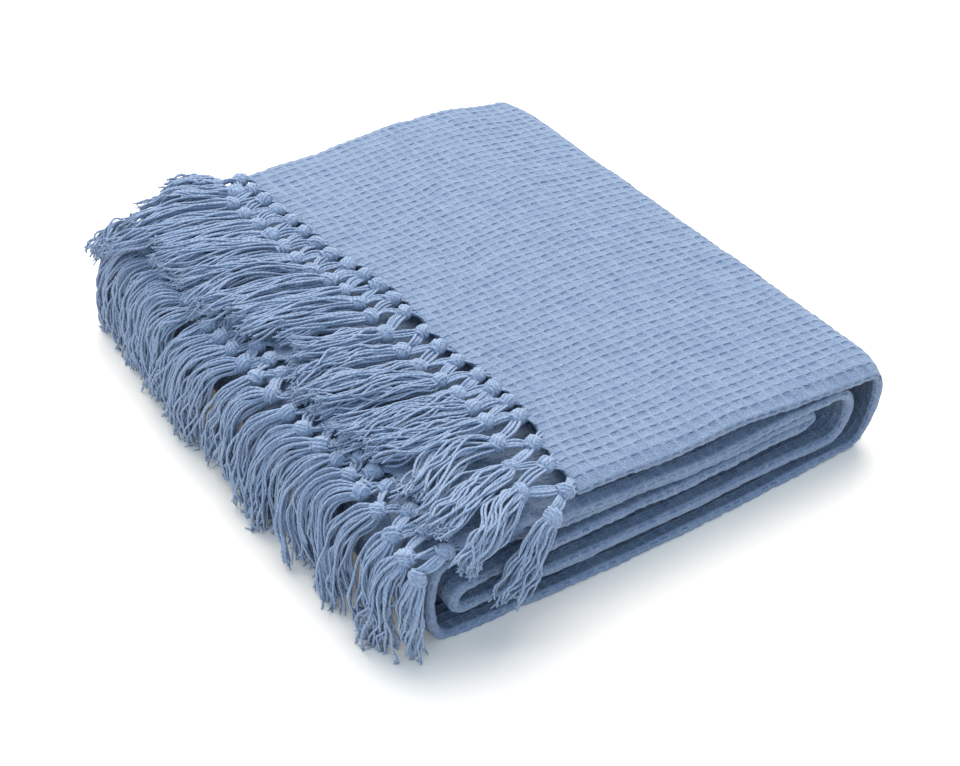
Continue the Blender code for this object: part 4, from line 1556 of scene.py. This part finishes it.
@dataclass(frozen=True)
class Studio:
    """A plain pale floor, soft light from above and behind, and the camera."""

    shift: Array
    camera_at: Triple = (-458.7, -572.4, 751.1)
    looks: Triple = (0.43876, 0.63619, -0.63463)
    upwards: Triple = (0.3452, 0.5327, 0.7727)
    lens: float = 66.47
    floor_half: float = 6.0
    floor_tint: Triple = (0.99, 0.9, 0.8)
    floor_glow: float = 0.08
    glow_tint: Triple = (1.0, 0.9, 0.78)
    ambient: float = 0.7
    ambient_tint: Triple = (0.69, 0.885, 1.12)
    key: SoftLight = SoftLight("soft_key", (0.9, 1.4, 2.35), 3.3, 150.0, (1.0, 0.965, 0.91))
    fill: SoftLight = SoftLight("weak_fill", (-1.2, -1.2, 0.75), 1.8, 6.0, (0.6, 0.86, 1.15))

    def floor(self) -> None:
        """One big square under the bundle, level with its underside."""
        half = self.floor_half
        corners = [(-half, -half, 0), (half, -half, 0), (half, half, 0), (-half, half, 0)]
        mesh = bpy.data.meshes.new("studio_floor")
        mesh.from_pydata(corners, [], [(0, 1, 2, 3)])
        material, nodes, shader = new_material("pale_floor")
        nodes.feed(shader, {
            "Base Color": (*self.floor_tint, 1.0),
            "Emission Color": (*self.glow_tint, 1.0),
            "Emission Strength": self.floor_glow,
            "Roughness": 0.9,
            "Specular IOR Level": 0.1,
        })
        mesh.materials.append(material)
        in_scene("studio_floor", mesh)

    def surround(self) -> None:
        """A pale light from all round, and plain white where the camera sees past the floor."""
        world = bpy.data.worlds.new("studio_surround")
        bpy.context.scene.world = world
        world.use_nodes = True
        nodes, made = NodeTree(world.node_tree), world.node_tree.nodes
        nodes.feed(made["Background"], {"Color": (*self.ambient_tint, 1.0), "Strength": self.ambient})
        seen = nodes.node("Background", {"Color": (1.0, 1.0, 1.0, 1.0)})
        by_camera = nodes.node("LightPath").outputs["Is Camera Ray"]
        mixed = nodes.node("MixShader", {0: by_camera, 1: made["Background"].outputs[0], 2: seen.outputs[0]})
        nodes.feed(made["World Output"], {"Surface": mixed.outputs[0]})

    def camera(self) -> None:
        """The camera at the photograph's place and angle."""
        data = bpy.data.cameras.new("photo_camera")
        data.lens, data.sensor_width, data.sensor_fit = self.lens, 36.0, "HORIZONTAL"
        data.clip_start, data.clip_end = 0.01, 60.0
        obj = in_scene("photo_camera", data)
        obj.matrix_world = looking(np.array(self.looks), np.array(self.upwards)).to_4x4()
        obj.location = (np.array(self.camera_at) + self.shift) * MM
        bpy.context.scene.camera = obj

    def build(self) -> None:
        """Make the whole studio."""
        self.camera()
        self.floor()
        self.key.build()
        self.fill.build()
        self.surround()
        bpy.context.scene.view_settings.view_transform = "Standard"


def packed_shift() -> Array:
    """What moves the section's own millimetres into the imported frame, from the solid's lowest corner."""
    low = np.array(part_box("blanket_cloth")[0]) / MM
    return np.array((low[0] - SECTION_LOW[0], low[1] - SECTION_LOW[1], 0.0))


def build_fringe(fringe: Fringe, shift: Array, material: bpy.types.Material) -> None:
    """Make one fringe and hand its pieces to the frame.

    Args:
        fringe: the fringe.
        shift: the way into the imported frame.
        material: its yarn.
    """
    fringe.build()
    for part, spinner in (("knots", fringe.knots), ("tassels", fringe.tassels)):
        obj = spinner.batch.build(f"{part}_{fringe.end.value}", shift, material)
        hand_over(obj, f"fringe_{fringe.end.value}")
        LOG.info("%s: %d triangles", obj.name, spinner.batch.triangles())


def main() -> None:
    """Build the studio, the cloth and the two fringes."""
    logging.basicConfig(level=logging.INFO, format="%(name)s: %(message)s")
    section = FoldedSection()
    shift = packed_shift()
    LOG.info("section %.1f mm long, shift %s", section.length, np.round(shift, 2))
    Studio(shift).build()
    fuzz, patterns = fuzz_group(), {Pattern.WEAVE: weave_group(), Pattern.TWIST: twist_group()}
    cloth, yarn = CLOTH_FINISH.build(fuzz, patterns), YARN_FINISH.build(fuzz, patterns)
    BlanketCloth(section, WaffleWeave(), shift, cloth).build()
    build_fringe(Fringe(End.TOP, section, TOP_RAIL, TOP_CORNERS, 2.6, 31), shift, yarn)
    build_fringe(Fringe(End.LOWER, section, LOWER_RAIL, LOWER_CORNERS, 0.2, 32), shift, yarn)


if __name__ == "__main__":
    main()
